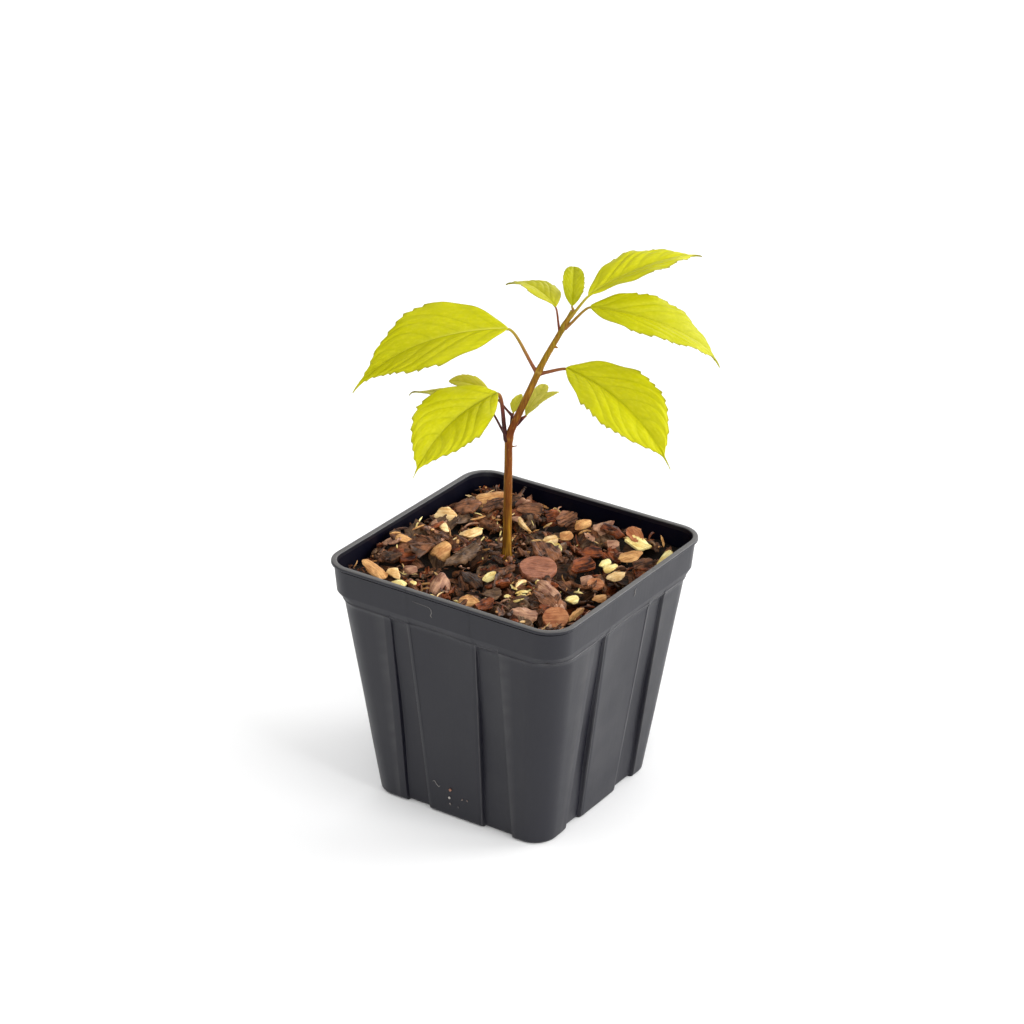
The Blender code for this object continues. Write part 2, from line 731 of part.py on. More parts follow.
def main():
    for old in list(bpy.data.objects):
        bpy.data.objects.remove(old)
    make_pot()
    make_mix()
    make_stem()
    green = material("leaf_green", (0.60, 0.64, 0.02), 0.5)
    for leaf in LEAVES:
        make_leaf(leaf, green)
    for shoot in SHOOTS:
        make_shoot(shoot, green)


main()
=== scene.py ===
"""Looks of the young beautyberry shrub in its square nursery pot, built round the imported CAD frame.

Lengths are in millimetres, and become the frame's metres where meshes, textures and the camera are
made. +Z is up and the origin is the centre of the pot's flat underside. Headings are degrees about Z,
from +X towards +Y. Pitches are degrees above level.
"""

import math
import random
from dataclasses import dataclass
from typing import NamedTuple

import bmesh
import bpy
import numpy as np
from mathutils import Matrix, Vector, noise


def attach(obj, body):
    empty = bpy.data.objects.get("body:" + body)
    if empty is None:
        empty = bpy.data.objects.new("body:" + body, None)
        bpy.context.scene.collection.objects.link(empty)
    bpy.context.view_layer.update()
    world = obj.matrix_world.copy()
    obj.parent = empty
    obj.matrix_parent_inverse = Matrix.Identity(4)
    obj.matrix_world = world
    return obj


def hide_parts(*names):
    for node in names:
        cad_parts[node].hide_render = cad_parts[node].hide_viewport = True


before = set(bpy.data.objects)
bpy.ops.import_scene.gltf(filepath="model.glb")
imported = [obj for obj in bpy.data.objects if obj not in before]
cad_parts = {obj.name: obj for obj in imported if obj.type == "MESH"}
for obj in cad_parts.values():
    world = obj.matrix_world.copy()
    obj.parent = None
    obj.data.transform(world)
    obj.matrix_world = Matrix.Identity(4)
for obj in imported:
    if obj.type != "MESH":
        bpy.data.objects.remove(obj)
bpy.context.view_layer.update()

MM = 0.001
UP = Vector((0, 0, 1))
FULL_TURN = 2 * math.pi

# Camera: the photo's viewing angle, framed for a 1024 x 1024 picture
CAMERA_AZIMUTH = 33.15
CAMERA_ELEVATION = 25.5
CAMERA_ROLL = 0.9
CAMERA_DISTANCE = 1006.0
CAMERA_ASIDE = -0.23
CAMERA_RAISED = 86.3
CAMERA_LENS = 107.96
CAMERA_CLIP = (0.05, 100.0)
SENSOR = 36.0

# Large soft lights far off: name, heading, pitch, how wide they look in degrees, and strength
LAMPS = (
    ("front_light", 300, 15, 30, 1.10),
    ("right_light", 0, 25, 30, 1.95),
    ("back_light", 45, 15, 30, 1.70),
    ("over_front_light", 270, 60, 80, 1.62),
    ("over_left_light", 180, 60, 40, 0.55),
)
ROOM_BRIGHT = 2.2
ROOM_DIM = 0.0
ROOM_DIM_SIDE = 258.0
ROOM_TURN = (-1.0, -0.15)
BACKDROP = 1.0
FLOOR_SIDE = 60000.0
FLOOR_DROP = 0.05

# Pot: the CAD's pot with deeper grooves, sharper steps and a notch under its lip
WALL = 1.1
FLOOR = 1.4
BASE_EDGE = 1.4
CORNER_STEPS = 14
GROOVE_DEPTH = 1.4
GROOVE_DEPTH_HIGH = 1.0
GROOVE_DEEPER = 0.6
GROOVE_DEEPER_FROM = (4.0, 26.0)
GROOVE_DEEPER_TO = (34.0, 62.0)
GROOVE_OUTER = 21.6
GROOVE_FADE = (67.0, 72.6)
RAMP = 3.3
RAMP_SHARES = (
    0.0, 0.02, 0.15, 0.3, 0.45, 0.58, 0.68, 0.74, 0.78, 0.80, 0.82, 0.84, 0.86, 0.89, 0.94, 1.0)
RAMP_STEEP = (0.79, 0.86)
RAMP_DEPTHS = (0.14, 0.76, 0.10)
SHORT_RAMP = 0.5
PANEL_RAMP = 0.9
PANEL_HALF_AT_BASE = 10.0
PANEL_HALF_AT_BAND = 12.8
PANEL_BOW = 0.6
PANEL_STEPS = 12
EDGE_DROP = 0.15
DROP_REACH = 0.55
DROP_PLACES = (0.15, 0.3, 0.5, 0.8, 1.2)
TOP_LEDGE = 0.36
LEDGE_ROOM = 0.5
LEDGE_STEPS = (
    (-1.6, 0.0), (-1.0, 0.2), (-0.5, 0.7), (-0.2, 0.95), (-0.05, 1.0), (0.06, 0.8), (0.16, 0.5),
    (0.35, 0.3), (0.78, 0.21), (1.17, 0.165), (1.56, 0.12), (1.95, 0.075), (2.288, 0.036), (2.6, 0.0))
BAND_SHARES = (0.03, 0.07, 0.14, 0.3, 0.5, 0.7, 0.86, 0.95, 1.0)
# Width of the painted highlight lines along the pot's edges
EDGE_SHEEN_HALF = 0.16
INSIDE_SHINE = 0.15
DRAIN_RADIUS = 4.5
DRAIN_OFFSET = 19.0
DRAIN_SIDES = 48
WAVE = 0.12
WAVE_SIZE = 26.0
SHARP_POT = 50


class Ring(NamedTuple):
    """A level of the pot's wall: height, half width, corner radius, and how far its face lies back."""

    z: float
    half: float
    corner: float
    groove: float = 0.0
    bow: float = 0.0
    drop: float = 0.0


LIP = Ring(83.5, 44.5, 9.4)
LIP_DEPTH = 1.1
LIP_ROUND = 0.4
LIP_BEVEL = 0.15
LIP_INNER = 42.6
LIP_NOTCH = ((81.85, 0.4), (81.95, 0.55), (82.25, 0.55))
BAND_TOP = Ring(81.75, 43.7, 8.9)
BAND_FOOT = Ring(73.2, 43.0, 8.6)
BODY_TOP = Ring(70.6, 42.1, 11.0, GROOVE_DEPTH, PANEL_BOW)
BODY_FOOT = Ring(BASE_EDGE, 33.1, 8.0, GROOVE_DEPTH)
WALL_ROWS = 26
INSIDE_HEIGHTS = (
    81.9, 79, 76, 73.2, 72, 70.6, 69, 67, 65, 63, 61, 55, 45, 36, 30, 25, 20, 15, 10, 6, 3, FLOOR)
QUARTER = [(math.sin(math.pi * k / 10), math.cos(math.pi * k / 10)) for k in range(6)]

# Potting mix: chips piled on a height map inside the pot
MIX_TOP_Z = 76.6
MIX_MOUND = 1.0
STEM_MOUND = 1.4
STEM_MOUND_REACH = 8.0
STEM_BED_REACH = 5.0
MIX_HEAP = 3.4
LOOSE_HEAP = 5.0
MIX_HEAP_BACK = (12.0, 40.0)
MIX_HEAP_LEFT = (16.0, 40.0)
BED_UNDER = 5.0
TOP_ROOM = 0.7
KEPT_ROOM = (0.6, 2.1)
FOLLOW = 0.5
STEEPEST = 0.45
MIX_ROUGH = 1.2
MIX_LUMP = 6.0
MIX_ROWS = 30
CELL = 0.5
MAP_HALF = 44.0
FIT_HEIGHT = 79.0
FIT_POINTS = 12
MIX_TOP_LIMIT = 83.2
KEPT_TOP_LIMIT = 85.5
MIX_SEED = 5
MIX_HALF = 42.0
TRIES = 12
NUGGET_HEIGHT = 0.44
KEEP_OFF_STEM = 2.1
WALL_ROOM = 0.7
GRAIN_PLACES = (0, 900)
FIBRES = 16
FIBRE_SPOT = (12.0, -15.0)
FIBRE_SPREAD = 1.8
FIBRE_LENGTH = (1.4, 3.2)
FIBRE_WIDTH = (0.5, 0.9)
CRUMBS = 700
CRUMB_SIZE = (0.5, 1.6)
CRUMB_HALF = 41.5
CRUMBS_SKIPPED = 0.9
FOOT_CRUMBS = 70
FOOT_REACH = (1.7, 6.0)
SHARP_CHIP = 40

# Stem
STEM_FOOT = Vector((-5.2, 2.5, 77.3))
STEM_SUNK = 4.6
STEM_LENGTH = 88.5
LEAN_HEADING = 33.0
FIRST_LEAN = 22.5
SECOND_LEAN = 27.5
FIRST_BEND = (39.0, 46.0)
SECOND_BEND = (66.0, 74.0)
STEM_RADIUS_FOOT = 1.45
STEM_RADIUS_TIP = 0.78
STEM_TAPER_POWER = 1.3
FLARE = 0.45
FLARE_REACH = 2.5
NODE_SWELL = 0.2
NODE_REACH = 1.4
NODE_LOW = 41.5
NODE_SHOOTS = 43.5
NODE_MIDDLE = 66.0
NODE_HIGH = 83.0
NODE_TOP = 87.0
STEM_SIDES = 36
STEM_STEP = 0.35
RIDGE_COUNT = 9
RIDGE_HEIGHT = 0.035
RIDGE_TWIST = 9.0
BARK_ROUGH = 0.05
BARK_SEED = 3
LENTICELS = 60
LENTICEL_SPAN = (0.02, 0.97)
LENTICEL_REACH = 0.8
LENTICEL_SIZE = (0.16, 0.26)
LENTICEL_RISE = 0.07
COLLARS = ((NODE_LOW, 0.25), (NODE_MIDDLE, 1.0), (NODE_HIGH, 0.2))
COLLAR_REACH = 0.45
COLLAR_RISE = 0.05
# Bud scar and twiglet: distance along the stem, heading, pitch, reach, radius, and the tip's share of it
STUBS = ((38.5, 33, 4, 1.5, 0.24, 0.5), (75.6, 20, -25, 0.9, 0.65, 0.3))
STUB_STEPS = 8
STUB_SIDES = 12
CLEAR = 0.3

# Leaves
BLADE_THICKNESS = 0.34
EDGE_SHARE = 0.45
BLADE_FOLD = math.radians(12)
BLADE_DOME = 0.24
DROOP_POWER = 1.2
HOOK_SPAN = (0.86, 1.0)
ROW_STEP = 0.24
FEWEST_ROWS = 60
COLUMN_STEP = 0.34
FEWEST_COLUMNS = 10
EDGE_LINES = (0.955, 0.975, 0.99, 1.0)
RIB_LINES = 400
LATERAL_REACH = 0.60
LATERAL_SOON = 0.07
LATERAL_CURVE = 1.2
LATERALS = 6
LATERAL_FROM = 0.035
LATERAL_TO = 0.80
LATERAL_SPREAD = 0.7
SIDE_VEIN_HALF = 0.26
QUILT = 0.30
QUILT_SHARE = 0.019
LADDER_PITCH = 1.05
LADDER_DEPTH = 0.045
LADDER_SLANT = 0.5
MARGIN_WAVE = 0.35
MARGIN_WAVE_LENGTH = 11.0
TOOTH_FROM = 0.26
TOOTH_TO = 0.93
TOOTH_PITCH = (4.6, 2.2)
TOOTH_DEPTH = 0.9
TOOTH_DEPTH_SHARE = 0.045
TOOTH_PEAK = 0.88
TAIL_UNDER = 0.55
TAIL_HALF_SHARE = 0.024
TIP_HALF = 0.10
MIDRIB_HALF = 0.30
MIDRIB_DEPTH = 0.16
RIB_FADE = 0.7
STALK_SIDES = 14
STALK_STEPS = 26
STALK_TAPER = 0.72
STALK_BASE_SWELL = 0.35
STALK_SWELL_REACH = 1.3
START_PULL = 0.3
END_PULL = 0.16
ROOT_STEPS = ((0.3, 0.8), (0.7, 0.3))
TWIG_RADIUS = 0.5
RIB_END = 0.93
RIB_STEPS = 40
RIB_SUNK = 0.04
RIB_TIP_RADIUS = 0.12
SHOOT_SEED = 20
TWIG_STEPS = 12
SHARP_LEAF = 60


def direction(heading, pitch):
    """Unit vector at a heading and a pitch in degrees."""
    h, p = math.radians(heading), math.radians(pitch)
    return Vector((math.cos(p) * math.cos(h), math.cos(p) * math.sin(h), math.sin(p)))


def smoothstep(value, span):
    """0 before the span, 1 after it, smooth between."""
    u = min(max((value - span[0]) / (span[1] - span[0]), 0.0), 1.0)
    return u * u * (3 - 2 * u)


def lerp(a, b, share):
    """The value a share of the way from a to b."""
    return a + (b - a) * share


def bell(value, reach):
    """1 at 0, falling away smoothly within a reach."""
    return math.exp(-(value / reach) ** 2)


class Shape:
    """Points and faces gathered for one mesh, with the values of each point that materials read."""

    def __init__(self):
        self.points, self.faces, self.finishes, self.grain, self.values = [], [], [], [], {}
        self.count = 0

    def add(self, points, faces, finish=0, grain=None, **values):
        """Add a part: its points, faces, the number of its material, and its values by name."""
        points = np.asarray(points, float)
        self.points.append(points)
        self.faces += [tuple(v + self.count for v in face) for face in faces]
        self.finishes += [finish] * len(faces) if isinstance(finish, int) else list(finish)
        self.grain.append(np.zeros((len(points), 2)) if grain is None else np.asarray(grain, float))
        for name in set(values) | set(self.values):
            kept = self.values.get(name, np.zeros(self.count))
            new = np.broadcast_to(values.get(name, 0.0), (len(points),))
            self.values[name] = np.concatenate([kept, new])
        self.count += len(points)

    def build(self, name, materials, sharp=None):
        """Make the mesh in metres, smooth shaded, with edges sharper than the given angle crisp."""
        mesh = bpy.data.meshes.new(name)
        mesh.from_pydata((np.concatenate(self.points) * MM).tolist(), [], self.faces)
        for finish in materials:
            mesh.materials.append(finish)
        mesh.polygons.foreach_set("material_index", np.array(self.finishes, np.int32))
        corners = np.zeros(len(mesh.loops), np.int32)
        mesh.loops.foreach_get("vertex_index", corners)
        grain = np.concatenate(self.grain)
        if grain.any():
            layer = mesh.uv_layers.new(name="grain")
            layer.data.foreach_set("uv", grain[corners].astype(np.float32).ravel())
        for key, value in self.values.items():
            layer = mesh.attributes.new(key, "FLOAT", "POINT")
            layer.data.foreach_set("value", value.astype(np.float32))
        mesh.shade_smooth()
        if sharp is not None:
            mesh.set_sharp_from_angle(angle=math.radians(sharp))
        mesh.update()
        made = bpy.data.objects.new(name, mesh)
        bpy.context.scene.collection.objects.link(made)
        return made


def dress(made, node):
    """Fix a piece to the body in place of a CAD node, which is hidden."""
    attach(made, "root")
    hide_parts(node)


def grid_faces(rows, columns, closed):
    """Quads between rows of points, joined round if closed."""
    faces = []
    for r in range(rows - 1):
        for c in range(columns if closed else columns - 1):
            a = r * columns + c
            b = r * columns + (c + 1) % columns
            faces.append((a, b, b + columns, a + columns))
    return faces


def tube_faces(rows, columns):
    """Quads between closed rows of points, and a face over each end."""
    count = rows * columns
    ends = [tuple(reversed(range(columns))), tuple(range(count - columns, count))]
    return grid_faces(rows, columns, True) + ends


def tube(points, radii, sides):
    """Points and faces of a closed round tube, turned as little as possible along its way."""
    rings = []
    side = None
    for i, point in enumerate(points):
        ahead = points[min(i + 1, len(points) - 1)] - points[max(i - 1, 0)]
        ahead.normalize()
        side = side or ahead.orthogonal().normalized()
        side = (side - ahead * side.dot(ahead)).normalized()
        across = ahead.cross(side)
        for k in range(sides):
            turn = FULL_TURN * k / sides
            rings.append(point + (side * math.cos(turn) + across * math.sin(turn)) * radii[i])
    return [tuple(p) for p in rings], tube_faces(len(points), sides)


def add_node(tree, kind, inputs, **settings):
    """Add a node with its settings, and set or link its inputs."""
    made = tree.nodes.new(kind)
    for key, value in settings.items():
        setattr(made, key, value)
    for key, value in inputs.items():
        if isinstance(value, bpy.types.NodeSocket):
            tree.links.new(value, made.inputs[key])
        else:
            made.inputs[key].default_value = value
    return made


class Finish:
    """A Principled material whose methods add nodes and hand back the socket to link on."""

    def __init__(self, name, roughness, specular=0.5):
        self.material = bpy.data.materials.new(name)
        self.material.use_nodes = True
        self.tree = self.material.node_tree
        self.shader = self.tree.nodes["Principled BSDF"]
        self.set("Roughness", roughness)
        self.set("Specular IOR Level", specular)

    def set(self, key, value):
        """Set a constant on the shader."""
        self.shader.inputs[key].default_value = value

    def where(self, stretch, grain):
        """Place in millimetres on the object, or on the grain's map, stretched for a texture."""
        if grain:
            source = add_node(self.tree, "ShaderNodeUVMap", {}, uv_map="grain").outputs["UV"]
        else:
            source = add_node(self.tree, "ShaderNodeTexCoord", {}).outputs["Object"]
            stretch = [part / MM for part in stretch]
        return add_node(self.tree, "ShaderNodeMapping", {"Vector": source, "Scale": stretch}).outputs[0]

    def noise(self, size, detail=3.0, stretch=(1, 1, 1), grain=False, rough=0.5):
        """Cloudy noise from 0 to 1 with lumps of a size."""
        inputs = {"Vector": self.where(stretch, grain), "Scale": 1 / size}
        inputs.update({"Detail": detail, "Roughness": rough})
        return add_node(self.tree, "ShaderNodeTexNoise", inputs).outputs[0]

    def cells(self, size, stretch):
        """Distance from the middle of the nearest of cells scattered on the grain's map."""
        inputs = {"Vector": self.where(stretch, True), "Scale": 1 / size}
        return add_node(self.tree, "ShaderNodeTexVoronoi", inputs).outputs["Distance"]

    def value(self, name):
        """The value that the mesh's points carry under a name."""
        return add_node(self.tree, "ShaderNodeAttribute", {}, attribute_name=name).outputs["Fac"]

    def ramp(self, share, *stops):
        """Colours or greys at places from 0 to 1."""
        made = add_node(self.tree, "ShaderNodeValToRGB", {"Fac": share})
        band = made.color_ramp.elements
        while len(band) < len(stops):
            band.new(1.0)
        for element, (place, colour) in zip(band, stops):
            element.position = place
            element.color = (*colour, 1) if isinstance(colour, tuple) else (colour, colour, colour, 1)
        return made.outputs["Color"]

    def mix(self, share, first, second):
        """One colour turning to another."""
        inputs = {"Factor": share}
        for key, colour in ((6, first), (7, second)):
            inputs[key] = colour if isinstance(colour, bpy.types.NodeSocket) else (*colour, 1)
        return add_node(self.tree, "ShaderNodeMix", inputs, data_type="RGBA").outputs[2]

    def math(self, operation, value, other):
        """Two values added or multiplied."""
        return add_node(self.tree, "ShaderNodeMath", {0: value, 1: other}, operation=operation).outputs[0]

    def tint(self, colour, name, strength, over):
        """A colour laid over another as strongly as the points' value under a name says."""
        return self.mix(self.math("MULTIPLY", self.value(name), strength), over, colour)

    def bump(self, height, depth, strength, below=None):
        """Relief of a depth, on top of another if there is one."""
        inputs = {"Height": height, "Distance": depth * MM, "Strength": strength}
        if below is not None:
            inputs["Normal"] = below
        return add_node(self.tree, "ShaderNodeBump", inputs).outputs["Normal"]

    def done(self, colour, normal=None, roughness=None):
        """Link the colour, relief and roughness, and hand back the material."""
        for key, socket in (("Base Color", colour), ("Normal", normal), ("Roughness", roughness)):
            if socket is not None:
                self.tree.links.new(socket, self.shader.inputs[key])
        return self.material


# Pot


def face_profile(ring, straight):
    """Places along one face and how deep they lie: corner land, groove, panel, and back again."""
    panel = lerp(PANEL_HALF_AT_BASE, PANEL_HALF_AT_BAND, min(ring.z / BODY_TOP.z, 1.0))
    gentle, steep, last = RAMP_DEPTHS
    half = [(straight, 0.0), ((straight + GROOVE_OUTER) / 2, 0.0)]
    for u in RAMP_SHARES:
        depth = gentle * min(1.0, u / RAMP_STEEP[0]) ** 2 + steep * smoothstep(u, RAMP_STEEP)
        depth += last * smoothstep(u, (RAMP_STEEP[1], 1.0))
        half.append((GROOVE_OUTER - RAMP * u, ring.groove * depth))
    for u in reversed(RAMP_SHARES):
        half.append((panel + PANEL_RAMP * u, max(ring.drop, ring.groove * smoothstep(u, (0.0, 0.6)))))
    half += [(panel - place, ring.drop * bell(place, DROP_REACH)) for place in DROP_PLACES]
    for k in range(1, PANEL_STEPS + 1):
        u = 1 - k / PANEL_STEPS
        half.append((panel * u, ring.bow * (1 - u * u)))
    left = [(-u, depth) for u, depth in half]
    right = half[-2::-1]
    ramp = len(right) - 2 - len(RAMP_SHARES)
    for k, u in enumerate(reversed(RAMP_SHARES)):
        right[ramp + k] = (GROOVE_OUTER - SHORT_RAMP * u, ring.groove * smoothstep(u, (0.0, 1.0)))
    return left + right


def wall_section(ring, wave=0.0):
    """Points round one level of the pot's wall, with two grooves in each face."""
    straight = ring.half - ring.corner
    local = [(u, depth - ring.half) for u, depth in face_profile(ring, straight)]
    for step in range(1, CORNER_STEPS):
        angle = math.pi / 2 * (step / CORNER_STEPS - 1)
        local.append((straight + ring.corner * math.cos(angle), ring.corner * math.sin(angle) - straight))
    points = []
    for cos, sin in ((1, 0), (0, 1), (-1, 0), (0, -1)):
        points += [Vector((x * cos - y * sin, x * sin + y * cos, ring.z)) for x, y in local]
    if wave:
        for point in points:
            out = Vector((point.x, point.y, 0)).normalized()
            point += out * (wave * noise.noise(point / WAVE_SIZE))
    return points


def between(low, high, z):
    """The wall's level at height z between two levels."""
    u = (z - low.z) / (high.z - low.z)
    return Ring(z, *(lerp(a, b, u) for a, b in zip(low[1:], high[1:])))


def inset(ring, z, inward):
    """A level drawn in, at another height."""
    return ring._replace(z=z, half=ring.half - inward, corner=ring.corner - inward)


def inside_level(z):
    """The wall's level at height z, before its thickness is taken off."""
    if z <= BODY_TOP.z:
        return between(BODY_FOOT, BODY_TOP, z)
    if z <= BAND_FOOT.z:
        return between(BODY_TOP, BAND_FOOT, z)
    return between(BAND_FOOT, BAND_TOP, z)


def outside_rings():
    """The levels of the pot's outside, from under its rounded base edge to the top of its lip."""
    foot, top = BODY_FOOT._replace(drop=EDGE_DROP), BODY_TOP._replace(drop=EDGE_DROP)
    rings = [inset(foot, BASE_EDGE * (1 - cos), BASE_EDGE * (1 - sin)) for sin, cos in QUARTER]
    for k in range(1, WALL_ROWS):
        z = lerp(foot.z, top.z, k / WALL_ROWS)
        if z <= top.z + LEDGE_STEPS[0][0] - LEDGE_ROOM:
            rings.append(between(foot, top, z))
    for rise, out in LEDGE_STEPS:
        level = between(foot, top, top.z + rise) if rise < 0 else between(top, BAND_FOOT, top.z + rise)
        rings.append(level._replace(half=level.half + out * TOP_LEDGE))
    rings += [between(BAND_FOOT, BAND_TOP, lerp(BAND_FOOT.z, BAND_TOP.z, u)) for u in BAND_SHARES]
    rings += [inset(BAND_TOP, z, inward) for z, inward in LIP_NOTCH]
    under = LIP.z - LIP_DEPTH
    rings += [inset(LIP, under, LIP_BEVEL), inset(LIP, under + LIP_BEVEL, 0)]
    return rings + [inset(LIP, LIP.z - LIP_ROUND * (1 - sin), LIP_ROUND * (1 - cos)) for sin, cos in QUARTER]


def inside_rings():
    """The levels of the pot's inside, from the back of its lip down to its floor."""
    back = LIP.half - LIP_INNER
    rings = [inset(LIP, LIP.z - LIP_ROUND * (1 - cos), back - LIP_ROUND * (1 - sin)) for sin, cos in QUARTER]
    return rings + [inset(inside_level(z), z, WALL) for z in INSIDE_HEIGHTS]


def groove_depth(z):
    """Depth of the grooves at a height: full down the body, and run out under the band."""
    middle = smoothstep(z, GROOVE_DEEPER_FROM) * (1 - smoothstep(z, GROOVE_DEEPER_TO))
    depth = lerp(GROOVE_DEPTH, GROOVE_DEPTH_HIGH, z / BODY_TOP.z) + GROOVE_DEEPER * middle
    return depth * (1 - smoothstep(z, GROOVE_FADE))


def rubbed(point):
    """How strong a painted highlight a point of the pot gets: at the panels' edges, the body's top edge and
    the lip.
    """
    x, y, z = point
    aside = min(abs(x), abs(y))
    panel = lerp(PANEL_HALF_AT_BASE, PANEL_HALF_AT_BAND, z / BODY_TOP.z)
    edge = bell(z - BODY_TOP.z, EDGE_SHEEN_HALF)
    if z < BODY_TOP.z:
        edge = max(edge, bell(aside - panel, EDGE_SHEEN_HALF), 0.7 * bell(aside - GROOVE_OUTER, EDGE_SHEEN_HALF))
    uneven = 0.75 + 0.6 * noise.noise(Vector(point) / 3)
    lip = 1.3 * smoothstep(z, (LIP.z - 0.35, LIP.z))
    return min(1.6, max(edge * uneven, lip))


def pot_plastic(name, specular):
    """Black moulded plastic: flow lines down the wall, fine pits, pale dusty specks, scratch marks,
    and painted highlights along its edges and on top of its lip.
    """
    finish = Finish(name, 0.42, specular)
    clouds = finish.noise(14, 5.0)
    flow = finish.noise(1.4, stretch=(1, 1, 0.04))
    colour = finish.mix(clouds, (0.0008, 0.0008, 0.0050), (0.0022, 0.0021, 0.0075))
    specks = finish.ramp(finish.noise(0.5, 2.0), (0.72, 0.0), (0.80, 1.0))
    colour = finish.mix(finish.math("MULTIPLY", specks, 0.25), colour, (0.05, 0.047, 0.045))
    # Painted highlights along the edges and on the lip, and the pale tone of the scratch marks
    colour = finish.mix(finish.value("rubbed"), colour, (0.032, 0.031, 0.034))
    colour = finish.mix(finish.value("soil"), colour, (0.22, 0.10, 0.06))
    # Chalky scratch marks, and a painted highlight along the top of the lip
    colour = finish.mix(finish.value("chalk"), colour, (0.34, 0.32, 0.29))
    normal = finish.bump(flow, 0.06, 0.4, finish.bump(finish.noise(0.35, 4.0), 0.02, 0.35))
    return finish.done(colour, normal, finish.ramp(clouds, (0.25, 0.36), (0.75, 0.48)))


def make_pot():
    """Pot with a rounded lip, a plain band, grooved walls and four round drain holes."""
    levels = outside_rings()
    count = len(levels)
    levels += inside_rings()
    rings = []
    for k, level in enumerate(levels):
        rings.append(wall_section(level._replace(groove=groove_depth(level.z)), WAVE if k < count else 0.0))
    columns = len(rings[0])
    points = [tuple(p) for ring in rings for p in ring]
    outside = count * columns
    # Painted highlights along the pot's edges and lip
    edge_sheen = [rubbed(p) if k < outside or p[2] > BAND_TOP.z else 0.0 for k, p in enumerate(points)]
    # Painted highlight along the top of the lip
    lip_sheen = [0.13 * smoothstep(p[2], (LIP.z - 0.25, LIP.z)) for p in points]
    faces = tube_faces(len(rings), columns)
    behind = outside + len(QUARTER) * columns
    shape = Shape()
    inside = [int(min(face) >= behind) for face in faces]
    shape.add(points, faces, inside, rubbed=edge_sheen, soil=0.0, chalk=lip_sheen)
    finish = pot_plastic("pot_plastic_black", 0.45)
    pot = shape.build("pot_shell", [finish, pot_plastic("pot_plastic_inside", INSIDE_SHINE)])
    holes = Shape()
    for x, y in ((-1, -1), (-1, 1), (1, -1), (1, 1)):
        middle = Vector((x, y, 0)) * DRAIN_OFFSET
        ends = [middle - UP * 3 * FLOOR, middle + UP * 4 * FLOOR]
        holes.add(*tube(ends, [DRAIN_RADIUS] * 2, DRAIN_SIDES))
    cutter = holes.build("drain_cutter", [])
    cut = pot.modifiers.new("drain_holes", "BOOLEAN")
    cut.operation = "DIFFERENCE"
    cut.object = cutter
    cut.solver = "EXACT"
    graph = bpy.context.evaluated_depsgraph_get()
    holed = bpy.data.meshes.new_from_object(pot.evaluated_get(graph))
    pot.modifiers.clear()
    pot.data = holed
    bpy.data.objects.remove(cutter)
    holed.shade_smooth()
    holed.set_sharp_from_angle(angle=math.radians(SHARP_POT))
    for made in (pot, make_marks(finish)):
        dress(made, "pot")


# Scratches on the band and specks of dried soil low on one face: the face, how chalky and how
# brown, the radius, and the route as places along the face with their heights
MARKS = (
    ("-y", 0.30, 0.0, 0.13, ((-3.4, 79.3), (-2.6, 78.6), (-2.4, 77.6), (-2.9, 76.4), (-2.3, 75.9))),
    ("-y", 0.22, 0.0, 0.10, ((-9.6, 79.6), (-6.2, 79.4), (-3.2, 79.2))),
    ("+x", 0.40, 0.0, 0.12, ((1.3, 80.9), (0.5, 80.2), (1.0, 79.4), (0.2, 78.4))),
    ("-y", 0.35, 0.0, 0.13, ((-8.0, 11.9), (-7.2, 12.3), (-6.6, 11.2), (-5.7, 10.4), (-5.2, 11.0))),
    ("-y", 0.0, 1.0, 0.45, ((-1.6, 11.0), (-0.9, 10.5))),
    ("-y", 1.0, 0.0, 0.36, ((-2.1, 7.8), (-1.6, 7.2))),
    ("-y", 0.5, 0.3, 0.20, ((-1.9, 5.4), (-1.6, 4.8))),
    ("-y", 0.3, 0.4, 0.20, ((2.8, 8.2), (3.4, 8.6))),
    ("-y", 0.2, 0.4, 0.18, ((4.9, 8.9), (5.3, 8.5))),
    ("-y", 0.2, 0.0, 0.16, ((1.2, 5.1), (1.5, 4.6))),
)


def make_marks(finish):
    """The marks as thin burrs that lie on the wall."""
    shape = Shape()
    for face, chalk, soil, radius, route in MARKS:
        points = []
        for along, z in route:
            level = inside_level(z)
            bow = level.bow * (1 - min(1.0, abs(along) / PANEL_HALF_AT_BASE) ** 2)
            out = level.half - bow + 0.3 * radius
            points.append(Vector((along, -out, z) if face == "-y" else (out, along, z)))
        fine = [a.lerp(b, k / 4) for a, b in zip(points, points[1:]) for k in range(4)] + [points[-1]]
        swell = [math.sin(math.pi * (k + 0.5) / len(fine)) ** 0.5 for k in range(len(fine))]
        radii = [radius * lerp(0.35, 1.0, share) for share in swell]
        shape.add(*tube(fine, radii, 8), rubbed=1.0, soil=soil, chalk=chalk)
    return shape.build("pot_marks", [finish])


# Potting mix

# The bed's near-black colour is partly the fine dark bark and partly painted shade in the gaps between the
# chips
BED_AND_GAP_SHADE = ("bark_bed_and_gap_shade", (0.002, 0.001, 0.0005), (0.012, 0.005, 0.002), 0.7)
DARK = ("bark_dark", (0.010, 0.0035, 0.0015), (0.125, 0.052, 0.022), 0.40)
BROWN = ("bark_brown", (0.030, 0.010, 0.004), (0.28, 0.112, 0.050), 0.40)
RED = ("bark_red", (0.022, 0.003, 0.001), (0.30, 0.076, 0.022), 0.34)
PINK = ("bark_pink", (0.22, 0.095, 0.058), (0.54, 0.30, 0.18), 0.42)
TAN = ("wood_tan", (0.38, 0.16, 0.050), (0.78, 0.44, 0.17), 0.45)
CREAM = ("wood_cream", (0.60, 0.34, 0.12), (0.94, 0.70, 0.36), 0.45)
YELLOW = ("wood_yellow", (0.72, 0.50, 0.15), (0.98, 0.87, 0.40), 0.45)
